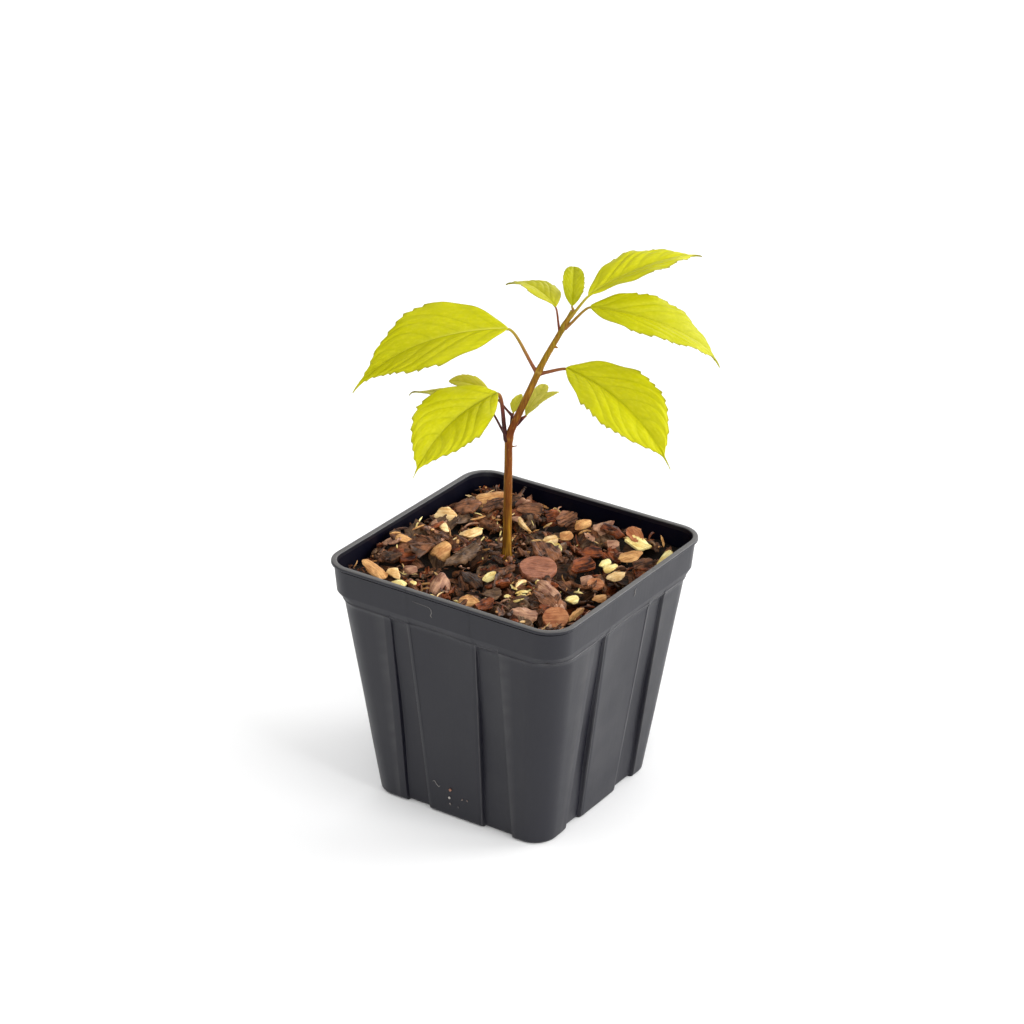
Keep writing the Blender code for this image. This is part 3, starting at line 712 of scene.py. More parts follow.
GREY = ("bark_grey", (0.045, 0.022, 0.012), (0.20, 0.114, 0.061), 0.40)
DISC = ("disc_brown", (0.20, 0.066, 0.034), (0.44, 0.175, 0.095), 0.45)
ORANGE = ("disc_orange", (0.28, 0.085, 0.032), (0.54, 0.23, 0.095), 0.42)
PALETTE = (BED_AND_GAP_SHADE, DARK, BROWN, RED, PINK, TAN, CREAM, YELLOW, GREY, DISC, ORANGE)
DARK_ONES = (DARK, DARK, BROWN, BROWN, RED, GREY)
MIXED_ONES = (DARK, DARK, BROWN, BROWN, BROWN, RED, RED, PINK, GREY)
SPLINTERS = (TAN, CREAM, YELLOW, PINK, BROWN, BROWN, DARK, RED)
# Some crumbs take the bed's colour, which carries painted shade
CRUMBLED = (BED_AND_GAP_SHADE, BED_AND_GAP_SHADE, DARK, DARK, BROWN, RED, TAN, PINK)


def wood(name, dark, light, roughness):
    """Bark or wood in two tones, streaked along its grain, with fine dark pits."""
    finish = Finish(name, roughness, 0.22)
    streaks = finish.noise(1.0, 4.0, stretch=(0.22, 1.6, 1), grain=True, rough=0.6)
    colour = finish.ramp(finish.mix(0.5, streaks, finish.noise(3.5)), (0.42, dark), (0.61, light))
    pits = finish.ramp(finish.noise(0.45), (0.60, 0.0), (0.72, 0.55))
    colour = finish.mix(pits, colour, tuple(0.3 * part for part in dark))
    return finish.done(colour, finish.bump(finish.noise(0.4), 0.08, 0.7, finish.bump(streaks, 0.45, 0.8)))


# The chips that the photo shows: form, colour, x, y, length, width, heading, and slope to the viewer
NAMED = (
    ("flake", DARK, -8.6, 0.2, 5.0, 2.6, 20, 5),
    ("flake", BROWN, -2.0, -0.8, 4.6, 2.2, 120, 8),
    ("flake", RED, -5.8, -2.4, 5.2, 2.2, 50, 6),
    ("flake", DARK, -9.4, 5.0, 5.0, 2.6, 80, 4),
    ("flake", BROWN, -1.4, 5.4, 5.0, 2.4, 150, 8),
    ("flake", DARK, -4.6, -4.2, 6.0, 2.6, 160, 10),
    ("flake", GREY, -16.4, -6.4, 15.5, 6.6, 79, 6),
    ("flake", BROWN, 6.0, 8.8, 12.5, 9.0, 150, 10),
    ("nugget", CREAM, -33.6, 9.8, 7.6, 5.4, 33, 66),
    ("nugget", CREAM, -29.5, 2.5, 4.6, 4.4, 35, 20),
    ("nugget", CREAM, -22.3, 6.5, 8.6, 5.6, 65, 20),
    ("nugget", YELLOW, -23.1, 12.0, 4.2, 2.6, 49, 10),
    ("curl", TAN, -24.3, -6.7, 7.2, 6.0, 79, 24),
    ("nugget", TAN, -34.2, -13.1, 6.0, 4.6, 18, 22),
    ("nugget", TAN, -31.8, -32.4, 10.6, 4.6, 162, 18),
    ("nugget", CREAM, -26.2, -30.0, 6.0, 5.4, 43, 24),
    ("nugget", YELLOW, -21.7, -33.9, 7.4, 4.6, 29, 14),
    ("nugget", PINK, -23.8, -23.6, 5.6, 4.8, 50, 18),
    ("nugget", YELLOW, -18.8, -29.6, 2.8, 2.2, 10, 10),
    ("curl", TAN, -28.8, 28.6, 10.5, 7.4, 48, 30),
    ("nugget", PINK, -15.3, 23.8, 4.6, 3.4, 22, 22),
    ("sliver", CREAM, -10.5, 21.4, 9.4, 2.0, 146, 8),
    ("curl", CREAM, 0.3, 19.7, 5.2, 4.4, 56, 26),
    ("nugget", TAN, 3.4, 23.7, 5.4, 4.2, 78, 18),
    ("cup", YELLOW, 6.1, 12.6, 7.6, 3.4, 151, 12),
    ("nugget", PINK, 19.0, 26.5, 5.0, 4.2, 35, 22),
    ("nugget", TAN, 27.9, 23.6, 7.8, 5.0, 54, 16),
    ("nugget", YELLOW, 22.8, 16.4, 4.8, 3.8, 59, 12),
    ("nugget", YELLOW, 25.4, 14.1, 6.4, 4.0, 69, 14),
    ("nugget", CREAM, 31.2, 10.1, 6.6, 4.4, 59, 12),
    ("flake", YELLOW, 26.8, 30.5, 10.6, 6.4, 1, 20),
    ("flake", ORANGE, 24.0, 32.2, 7.4, 5.4, 160, 34),
    ("nugget", YELLOW, 38.2, 27.5, 9.0, 3.4, 92, 14),
    ("nugget", TAN, 4.4, 31.7, 6.8, 4.8, 70, 24),
    ("flake", PINK, 12.2, 32.0, 7.6, 5.4, 64, 24),
    ("flake", BROWN, -0.9, 31.3, 8.4, 5.8, 70, 28),
    ("nugget", YELLOW, 0.5, -15.2, 6.2, 4.0, 74, 12),
    ("nugget", YELLOW, 10.3, -20.4, 2.4, 2.0, 30, 5),
    ("sliver", CREAM, 11.3, -14.1, 6.0, 1.4, 84, 0),
    ("sliver", YELLOW, 13.1, -16.2, 4.6, 1.2, 44, 4),
    ("flake", PINK, 20.6, -12.3, 12.0, 6.0, 161, 10),
    ("nugget", YELLOW, 15.7, -9.9, 4.8, 3.0, 150, 8),
    ("nugget", YELLOW, 27.6, -11.0, 5.0, 4.0, 64, 12),
    ("nugget", TAN, 34.4, -4.5, 5.0, 3.6, 56, 14),
    ("flake", TAN, 3.1, -31.8, 6.4, 5.0, 35, 20),
    ("nugget", YELLOW, -8.8, -34.2, 3.0, 2.6, 12, 10),
    ("flake", RED, 8.2, -29.7, 7.0, 5.4, 63, 16),
    ("flake", PINK, 21.8, -28.0, 9.2, 6.2, 25, 18),
    ("sliver", TAN, 34.2, -18.3, 8.0, 2.2, 86, 14),
    ("curl", PINK, -12.4, -25.2, 8.6, 5.6, 105, 22),
    ("cup", RED, 16.7, 18.1, 8.2, 4.8, 29, 16),
    ("cup", RED, 19.4, 9.7, 8.4, 6.0, 59, 16),
    ("nugget", PINK, 24.3, 2.7, 5.8, 4.0, 73, 14),
    ("flake", BROWN, -28.8, -13.4, 10.6, 5.4, 40, 18),
    ("flake", DARK, -32.8, -22.2, 6.4, 4.4, 35, 24),
    ("flake", BROWN, -32.3, 19.6, 10.0, 5.6, 56, 30),
    ("flake", BROWN, -26.3, 25.9, 9.0, 5.0, 60, 26),
    ("flake", DARK, -20.9, 31.3, 7.0, 4.6, 54, 30),
    ("flake", BROWN, -13.8, 28.9, 10.2, 6.2, 25, 26),
    ("flake", RED, -5.9, 31.2, 7.6, 5.2, 58, 30),
    ("flake", BROWN, -0.1, -7.1, 8.4, 4.2, 59, 14),
    ("flake", DARK, -5.6, -16.9, 10.4, 5.8, 160, 10),
    ("flake", BROWN, 22.5, -17.7, 10.6, 5.0, 166, 16),
    ("flake", GREY, 5.6, -22.2, 7.4, 4.8, 35, 12),
    ("flake", BROWN, 33.4, 21.7, 7.4, 5.2, 64, 22),
    ("flake", RED, 16.1, 31.4, 9.8, 5.6, 8, 30),
    ("disc", DISC, 8.6, -0.5, 12.2, 12.2, 20, 8),
    ("disc", ORANGE, 30.3, -23.8, 8.2, 8.0, 40, 26),
    ("disc", ORANGE, 28.9, 1.2, 5.4, 5.2, 10, 16),
)
VIEWER = direction(CAMERA_AZIMUTH - 90, 0)
SMOOTH_SIDES = 40
PLATE_RINGS = ((1.0, 0.6), (0.965, 0.95), (0.8, 1.0), (0.55, 1.0), (0.25, 1.0))


def outline(length, width, chance, corners, uneven):
    """Closed outline about the origin: broken sides between corners, or one wavy round without."""

    def at(angle, reach):
        return length / 2 * math.cos(angle) * reach, width / 2 * math.sin(angle) * reach

    points = []
    if not corners:
        phase = chance.uniform(0, 9)
        for k in range(SMOOTH_SIDES):
            angle = FULL_TURN * k / SMOOTH_SIDES
            wobble = noise.noise(Vector((1.6 * math.cos(angle), 1.6 * math.sin(angle), phase)))
            points.append(at(angle, 1 + uneven * wobble))
        return points
    turns = sorted((k + chance.uniform(-0.28, 0.28)) / corners for k in range(corners))
    spots = [at(FULL_TURN * turn, 1 + chance.uniform(-uneven, uneven)) for turn in turns]
    for (x, y), (nx, ny) in zip(spots, spots[1:] + spots[:1]):
        for share in (0.0, 0.25, 0.5, 0.75):
            jag = chance.uniform(-0.035, 0.035) * length if share else 0.0
            points.append((lerp(x, nx, share) + jag, lerp(y, ny, share) + jag * 0.6))
    return points


def plate(edge, thickness, curls, rough, chance, rim=0.0):
    """Slab with worn edges over an outline, curled across, bent along and twisted, with a rough face."""
    across, along, twist = curls
    count = len(edge)
    seed = chance.uniform(0, 99)
    points = []
    for side in (1, -1):
        for share, lift in PLATE_RINGS:
            for x, y in edge:
                px, py = x * share, y * share
                rise = rough * noise.noise(Vector((px / 2.6, py / 1.2, seed)))
                rise += 0.4 * rough * noise.noise(Vector((px / 0.8, py / 0.45, seed)))
                rise += rim * smoothstep(share, (0.6, 0.9)) if side > 0 else 0.0
                bent = across * py * py + along * px * px + twist * px * py
                points.append((px, py, bent + side * thickness / 2 * lift + rise))
        points.append((0.0, 0.0, side * thickness / 2))
    last = (len(PLATE_RINGS) - 1) * count
    block = last + count + 1
    faces = []
    for k in range(count):
        j = (k + 1) % count
        for a in range(0, last, count):
            top = (a + k, a + j, a + count + j, a + count + k)
            faces += [top, tuple(block + v for v in reversed(top))]
        faces.append((last + k, last + j, block - 1))
        faces.append((block + last + j, block + last + k, 2 * block - 1))
        faces.append((k, block + k, block + j, j))
    return points, faces


def lump(length, width, height, chance, subdivisions=3, cuts=8, rough=0.13):
    """Rounded nugget with a few broken flats."""
    body = bmesh.new()
    bmesh.ops.create_icosphere(body, subdivisions=subdivisions, radius=0.5)
    seed = Vector((chance.uniform(0, 99), 0, 0))
    flats = []
    for _ in range(cuts):
        way = direction(chance.uniform(0, 360), chance.uniform(-30, 90))
        flats.append((way, chance.uniform(0.22, 0.38)))
    points = []
    for vertex in body.verts:
        p = vertex.co * (1 + rough * 2 * noise.noise(vertex.co * 3 + seed))
        for way, reach in flats:
            p = p - way * (max(p.dot(way) - reach, 0.0) * 0.88)
        p *= 1 + 0.06 * noise.noise(vertex.co * 11 + seed)
        points.append((p.x * length, p.y * width, p.z * height))
    faces = [tuple(v.index for v in face.verts) for face in body.faces]
    body.free()
    return points, faces


def spike(length, width, chance, steps=7, sides=5):
    """Thin torn splinter, bent a little and drawn out at its ends."""
    bend = chance.uniform(-0.18, 0.18) * length
    sag = chance.uniform(-0.08, 0.14) * length
    points, radii = [], []
    for k in range(steps + 1):
        u = k / steps
        arch = 4 * u * (1 - u)
        points.append(Vector(((u - 0.5) * length, bend * arch, sag * arch)))
        radii.append(width / 2 * (0.15 + 0.85 * arch ** 0.5) * chance.uniform(0.8, 1.1))
    return tube(points, radii, sides)


def piece_form(form, length, width, chance):
    """Points, faces and height of one chip lying flat at the origin."""
    if form == "disc":
        height = 0.13 * length
        edge = outline(length, width, chance, 0, 0.07)
        return (*plate(edge, height, (0, 0, 0), 0.14, chance, 0.18), height)
    if form == "nugget":
        height = NUGGET_HEIGHT * width
        return (*lump(length, width, height, chance), height)
    if form in ("curl", "cup"):
        height = min(1.0, 0.18 * width)
        edge = outline(length, width, chance, 0, 0.35)
        curve = (0.55 if form == "cup" else -0.65) / (width / 2)
        return (*plate(edge, height, (curve, 0.1 * curve, 0), 0.3, chance), height)
    if form == "sliver":
        return (*spike(length, width, chance), width)
    height = min(1.1, chance.uniform(0.07, 0.13) * length)
    edge = outline(length, width, chance, chance.randint(5, 8), 0.18)
    curls = (chance.uniform(-0.75, 0.5) / (width / 2), chance.uniform(-0.25, 0.2) / (length / 2),
             chance.uniform(-0.3, 0.3) / (width / 2))
    return (*plate(edge, height, curls, 0.75, chance), height)


def top_height(x, y, heap=MIX_HEAP):
    """Height of the mix's top, mounded to the stem and heaped at the back and left walls."""
    aside = math.hypot(x - STEM_FOOT.x, y - STEM_FOOT.y)
    mound = MIX_MOUND * max(0.0, 1 - aside / BAND_FOOT.half) + STEM_MOUND * bell(aside, STEM_MOUND_REACH)
    level = (1 - smoothstep(y, MIX_HEAP_BACK)) * (1 - smoothstep(-x, MIX_HEAP_LEFT))
    return MIX_TOP_Z + mound + heap * (1 - level)


def base_height(x, y):
    """Height of the dark bed that shows in the gaps between the chips."""
    aside = math.hypot(x - STEM_FOOT.x, y - STEM_FOOT.y)
    under = BED_UNDER * (1 - 0.72 * bell(aside, STEM_BED_REACH))
    return top_height(x, y, LOOSE_HEAP) - under + MIX_ROUGH * noise.noise(Vector((x, y, 0)) / MIX_LUMP)


class Pile:
    """Height map of the mix's top, which each chip is laid on in turn."""

    def __init__(self):
        places = (np.arange(round(2 * MAP_HALF / CELL)) + 0.5) * CELL - MAP_HALF
        self.x, self.y = np.meshgrid(places, places, indexing="ij")
        self.z = np.array([[base_height(x, y) for y in places] for x in places])
        self.kept = np.zeros(self.z.shape, bool)

    def under(self, x, y, length, width, heading):
        """Which cells an ellipse covers, and their places from its middle."""
        h = math.radians(heading)
        dx, dy = self.x - x, self.y - y
        u = dx * math.cos(h) + dy * math.sin(h)
        v = dy * math.cos(h) - dx * math.sin(h)
        mask = (u / (length / 2)) ** 2 + (v / (width / 2)) ** 2 < 0.85
        return mask, dx[mask], dy[mask]

    def fits(self, x, y, length, width, heading):
        """Whether a chip stays inside the wall and off the stem."""
        half = inside_level(FIT_HEIGHT).half - WALL - WALL_ROOM
        corner = BAND_FOOT.corner - WALL
        h = math.radians(heading)
        for k in range(FIT_POINTS):
            a = FULL_TURN * k / FIT_POINTS
            u, v = length / 2 * math.cos(a), width / 2 * math.sin(a)
            px = abs(x + u * math.cos(h) - v * math.sin(h))
            py = abs(y + u * math.sin(h) + v * math.cos(h))
            cut = math.hypot(max(px - half + corner, 0), max(py - half + corner, 0))
            if max(px, py) > half or cut > corner:
                return False
        mask = self.under(x, y, length, width, heading)[0]
        if not mask.any():
            return False
        to_stem = np.hypot(self.x[mask] - STEM_FOOT.x, self.y[mask] - STEM_FOOT.y)
        return to_stem.min() > KEEP_OFF_STEM

    def lay(self, x, y, length, width, heading, height, lean, chance, tilt, rest, keep):
        """Lay a chip: the turn and place for its points, or nothing where it would stand too high."""
        mask, dx, dy = self.under(x, y, length, width, heading)
        tops = self.z[mask]
        # In metres the fit stays level where few cells lie under the chip
        fit = np.column_stack([dx * MM, dy * MM, np.ones(len(dx))])
        slope = np.linalg.lstsq(fit, tops * MM, rcond=None)[0][:2] * (0.0 if keep else FOLLOW)
        steep = np.hypot(*slope)
        if steep > STEEPEST:
            slope *= STEEPEST / steep
        slope = slope + np.array([chance.gauss(0, tilt), chance.gauss(0, tilt)])
        slope = slope - np.array(VIEWER.xy) * math.tan(math.radians(lean))
        rises = slope[0] * dx + slope[1] * dy
        middle = np.percentile(tops - rises, rest) + height / 2
        level = top_height(x, y, MIX_HEAP if keep else LOOSE_HEAP)
        if keep:
            middle = min(max(middle, level + KEPT_ROOM[0]), level + KEPT_ROOM[1])
        elif middle > level + 3 * TOP_ROOM:
            return None
        rise = np.max(np.abs(rises)) / math.sqrt(1 + slope @ slope) + height / 2
        middle = min(middle, (KEPT_TOP_LIMIT if keep else MIX_TOP_LIMIT) - rise)
        if not keep:
            middle = min(middle, level + TOP_ROOM)
        self.z[mask] = np.maximum(tops, middle + height * 0.45 + rises)
        self.kept[mask] |= keep
        up = Vector((-slope[0], -slope[1], 1)).normalized()
        ahead = direction(heading, 0)
        ahead = (ahead - up * ahead.dot(up)).normalized()
        return Matrix((ahead, up.cross(ahead), up)).transposed(), Vector((x, y, middle))


def placed(points, turn, place):
    """Points turned and moved to their place."""
    return np.asarray(points, float) @ np.array(turn).T + np.array(place)


def add_piece(shape, form, colour, spot, size, heading, pile, chance, lean, tilt, rest=85, keep=False):
    """Make one chip and lay it on the pile; False where it would stand too high."""
    points, faces, height = piece_form(form, *size, chance)
    laid = pile.lay(*spot, *size, heading, height, lean, chance, tilt, rest, keep)
    if laid is None:
        return False
    grain = np.asarray(points)[:, :2] + [chance.uniform(*GRAIN_PLACES), chance.uniform(*GRAIN_PLACES)]
    shape.add(placed(points, *laid), faces, PALETTE.index(colour), grain)
    return True


def scatter(shape, pile, chance, count, forms, colours, lengths, slims, tilt):
    """Lay many chips at random places, in random forms and colours, off the photo's own chips."""
    laid = tries = 0
    while laid < count and tries < TRIES * count:
        tries += 1
        x, y = chance.uniform(-MIX_HALF, MIX_HALF), chance.uniform(-MIX_HALF, MIX_HALF)
        length = chance.uniform(*lengths)
        width = length * chance.uniform(*slims)
        heading = chance.uniform(0, 180)
        if not pile.fits(x, y, length, width, heading):
            continue
        if pile.kept[pile.under(x, y, length, width, heading)[0]].any():
            continue
        form, colour = chance.choice(forms), chance.choice(colours)
        laid += add_piece(shape, form, colour, (x, y), (length, width), heading, pile, chance, 0, tilt, 80)


def make_bulk(finish):
    """The bark that fills the pot, up to the rough bed that the chips lie on, dark partly with painted
    shade.
    """
    levels = (FLOOR + CLEAR, 20, 45, BODY_TOP.z - 1, BAND_FOOT.z)
    rings = [wall_section(inset(inside_level(z), z, WALL + CLEAR)) for z in levels]
    edge = rings[-1]
    for k in range(MIX_ROWS):
        share = 1 - k / MIX_ROWS
        spots = [(lerp(STEM_FOOT.x, p.x, share), lerp(STEM_FOOT.y, p.y, share)) for p in edge]
        rings.append([(x, y, base_height(x, y)) for x, y in spots])
    columns = len(edge)
    points = [tuple(p) for ring in rings for p in ring]
    points.append((STEM_FOOT.x, STEM_FOOT.y, base_height(STEM_FOOT.x, STEM_FOOT.y)))
    middle = len(points) - 1
    last = middle - columns
    faces = tube_faces(len(rings), columns)[:-1]
    faces += [(last + k, last + (k + 1) % columns, middle) for k in range(columns)]
    shape = Shape()
    shape.add(points, faces, 0, [(x, y) for x, y, z in points])
    return shape.build("mix_bed", [finish])


def add_crumbs(shape, pile, chance):
    """Small crumbs that lie in the hollows between the chips and round the stem's foot."""
    laid = 0
    while laid < CRUMBS:
        at_foot = laid < FOOT_CRUMBS
        if at_foot:
            angle, reach = chance.uniform(0, FULL_TURN), chance.uniform(*FOOT_REACH)
            x, y = STEM_FOOT.x + reach * math.cos(angle), STEM_FOOT.y + reach * math.sin(angle)
        else:
            x, y = chance.uniform(-CRUMB_HALF, CRUMB_HALF), chance.uniform(-CRUMB_HALF, CRUMB_HALF)
        size = chance.uniform(*CRUMB_SIZE)
        i, j = int((x + MAP_HALF) / CELL), int((y + MAP_HALF) / CELL)
        if pile.kept[i, j] or not (at_foot or pile.fits(x, y, 2 * CELL, 2 * CELL, 0)):
            laid += chance.random() >= CRUMBS_SKIPPED
            continue
        laid += 1
        points, faces = lump(size, size * 0.7, size * 0.55, chance, 1, 1, 0.25)
        turn = Matrix.Rotation(chance.uniform(0, 6.3), 3, "Z")
        turn = turn @ Matrix.Rotation(chance.uniform(-0.6, 0.6), 3, "X")
        colour = chance.choice(CRUMBLED)
        grain = np.asarray(points)[:, :2] + chance.uniform(*GRAIN_PLACES)
        spot = (x, y, pile.z[i, j] + size * 0.12)
        shape.add(placed(points, turn, spot), faces, PALETTE.index(colour), grain)


def make_mix():
    """Potting mix: a bed of bark, flakes in layers, the photo's own chips, then splinters and crumbs."""
    chance = random.Random(MIX_SEED)
    finishes = [wood(*colours) for colours in PALETTE]
    bed = make_bulk(finishes[0])
    pile = Pile()
    flakes, named, bits, crumbs = [Shape() for _ in range(4)]
    forms = ("flake", "curl", "cup", "flake")
    scatter(flakes, pile, chance, 120, ("flake", "flake", "curl"), DARK_ONES, (8, 15), (0.42, 0.7), 0.28)
    scatter(flakes, pile, chance, 130, forms, MIXED_ONES, (4, 9), (0.45, 0.8), 0.4)
    for form, colour, x, y, length, width, heading, lean in NAMED:
        size = (length, width)
        add_piece(named, form, colour, (x, y), size, heading, pile, chance, lean, 0.0, 90, True)
    scatter(bits, pile, chance, 190, ("flake", "nugget", "curl"), MIXED_ONES, (1.6, 4.2), (0.45, 0.8), 0.45)
    scatter(bits, pile, chance, 400, ("sliver",), SPLINTERS, (1.8, 6), (0.10, 0.2), 0.45)
    for _ in range(FIBRES):
        spot = [place + chance.gauss(0, FIBRE_SPREAD) for place in FIBRE_SPOT]
        size = (chance.uniform(*FIBRE_LENGTH), chance.uniform(*FIBRE_WIDTH))
        add_piece(bits, "sliver", YELLOW, spot, size, chance.uniform(0, 180), pile, chance, 0, 0.3)
    add_crumbs(crumbs, pile, chance)
    shapes = {"mix_flakes": flakes, "mix_chips": named, "mix_bits": bits, "mix_crumbs": crumbs}
    for made in [shape.build(name, finishes, SHARP_CHIP) for name, shape in shapes.items()] + [bed]:
        dress(made, "potting_mix")


# Stem


def stem_direction(along):
    """Direction of the stem at a distance along it."""
    lean = FIRST_LEAN * smoothstep(along, FIRST_BEND)
    lean += (SECOND_LEAN - FIRST_LEAN) * smoothstep(along, SECOND_BEND)
    return direction(LEAN_HEADING, 90 - lean)


def stem_line():
    """Points up the stem's centre line, a short step apart."""
    steps = round(STEM_LENGTH / STEM_STEP)
    step = STEM_LENGTH / steps
    points = [STEM_FOOT.copy()]
    for i in range(steps):
        points.append(points[-1] + stem_direction((i + 0.5) * step) * step)
    return points


STEM_LINE = stem_line()


def stem_point(along):
    """Point on the stem's centre line at a distance along it."""
    place = max(along, 0.0) / STEM_LENGTH * (len(STEM_LINE) - 1)
    i = min(int(place), len(STEM_LINE) - 2)
    return STEM_LINE[i].lerp(STEM_LINE[i + 1], place - i)


def stem_radius(along):
    """Taper from foot to tip, with a flare at the ground and a swelling at each node."""
    along = max(along, 0.0)
    radius = lerp(STEM_RADIUS_FOOT, STEM_RADIUS_TIP, (along / STEM_LENGTH) ** STEM_TAPER_POWER)
    radius += FLARE * math.exp(-along / FLARE_REACH)
    for node in (NODE_LOW, NODE_MIDDLE, NODE_HIGH):
        radius += NODE_SWELL * bell(along - node, NODE_REACH)
    return radius


def stem_bark():
    """Young bark: golden olive at the foot and the top and red-brown between, finely streaked."""
    finish = Finish("stem_bark_young", 0.5, 0.1)
    wander = finish.math("MULTIPLY", finish.noise(7, 2.0), 0.12)
    tone = finish.ramp(
        finish.math("ADD", finish.value("height"), wander),
        (0.07, (0.050, 0.020, 0.002)), (0.20, (0.17, 0.064, 0.007)), (0.42, (0.20, 0.062, 0.010)),
        (0.56, (0.180, 0.044, 0.008)), (0.80, (0.26, 0.130, 0.010)), (0.94, (0.29, 0.205, 0.012)))
    bands = finish.ramp(finish.noise(1.3, 2.0, stretch=(1, 1, 0.05)), (0.46, 0.0), (0.62, 0.8))
    colour = finish.mix(bands, tone, (0.33, 0.165, 0.014))
    streaks = finish.noise(0.5, stretch=(1, 1, 0.10))
    colour = finish.mix(finish.ramp(streaks, (0.40, 0.0), (0.7, 0.7)), colour, (0.07, 0.015, 0.007))
    colour = finish.mix(finish.value("pale"), colour, (0.40, 0.27, 0.055))
    normal = finish.bump(finish.noise(0.18, 2.0), 0.02, 0.5, finish.bump(streaks, 0.10, 0.55))
    return finish.done(colour, normal)


def make_stem():
    """Stem from under the mix to its tip: fluted bark, lenticels, collars, a bud scar and a twiglet."""
    chance = random.Random(BARK_SEED)
    spots = []
    for _ in range(LENTICELS):
        spots.append((chance.uniform(*LENTICEL_SPAN) * STEM_LENGTH, chance.uniform(0, FULL_TURN)))
    points, height, pale = [], [], []
    side = None
    below = [STEM_FOOT - UP * (STEM_SUNK * k) for k in (1.0, 0.5)]
    for i, point in enumerate(below + STEM_LINE):
        along = (i - 2) * STEM_LENGTH / (len(STEM_LINE) - 1)
        ahead = stem_direction(along)
        side = side or ahead.orthogonal().normalized()
        side = (side - ahead * side.dot(ahead)).normalized()
        across = ahead.cross(side)
        radius = stem_radius(along)
        near = [spot for spot in spots if abs(spot[0] - along) < LENTICEL_REACH]
        collar = max(share * bell(along - node, COLLAR_REACH) for node, share in COLLARS)
        for k in range(STEM_SIDES):
            angle = FULL_TURN * k / STEM_SIDES
            grain = Vector((2.5 * math.cos(angle), 2.5 * math.sin(angle), along / 3))
            reach = radius + RIDGE_HEIGHT * math.sin(RIDGE_COUNT * angle + along / RIDGE_TWIST)
            reach += BARK_ROUGH * noise.noise(grain)
            dot = 0.0
            for spot, turn in near:
                apart = abs((angle - turn + math.pi) % FULL_TURN - math.pi) * radius
                dot = max(dot, bell(apart, LENTICEL_SIZE[0]) * bell(along - spot, LENTICEL_SIZE[1]))
            reach += LENTICEL_RISE * dot + COLLAR_RISE * collar
            points.append(point + (side * math.cos(angle) + across * math.sin(angle)) * reach)
            height.append(max(along, 0.0) / STEM_LENGTH)
            pale.append(min(1.0, 0.35 * dot + 0.55 * collar))
    shape = Shape()
    faces = tube_faces(len(STEM_LINE) + 2, STEM_SIDES)
    shape.add([tuple(p) for p in points], faces, height=height, pale=pale)
    for along, heading, pitch, reach, radius, tip in STUBS:
        route, radii = [], []
        for k in range(STUB_STEPS + 1):
            u = k / STUB_STEPS
            out = direction(heading, pitch) * (u * (stem_radius(along) + reach))
            route.append(stem_point(along) + out + UP * (0.25 * u * u))
            radii.append(radius * lerp(1.25, tip, u) * (1 + 0.12 * math.sin(17 * u)))
        shape.add(*tube(route, radii, STUB_SIDES), height=0.5, pale=0.0)
    dress(shape.build("stem_bark_mesh", [stem_bark()]), "stem")


# Leaves


@dataclass
class Blade:
    """A leaf blade: how it sets off from its stalk, how it bends, its size and its outline."""

    heading: float
    rise: float
    droop: float
    bend: float
    roll: float
    twist: float
    length: float
    width: float
    belly: float
    tip: float
    base: float
    tail: float = 0.12
    hook: float = 0.0


@dataclass
class Leaf:
    """A leaf on a node of the stem: its stalk's length, heading and pitch, then its blade.

    The seat is the heading of the side of the stem that the stalk springs from. The tints are how purple
    the stalk is at the stem and at the blade. The tone runs from deep through fresh to tan, and the rib
    from a dark fold, which is painted shade, to a pale line, partly the midrib's own colour and partly
    painted highlight. Dry is how brown the drip tip is.
    """

    name: str
    node: float
    seat: float
    stalk: float
    heading: float
    pitch: float
    blade: Blade
    stalk_radius: float = 0.55
    tints: tuple = (0.6, 0.3)
    age: float = 1.0
    tone: float = 0.3
    rib: float = 0.0
    dry: float = 0.2


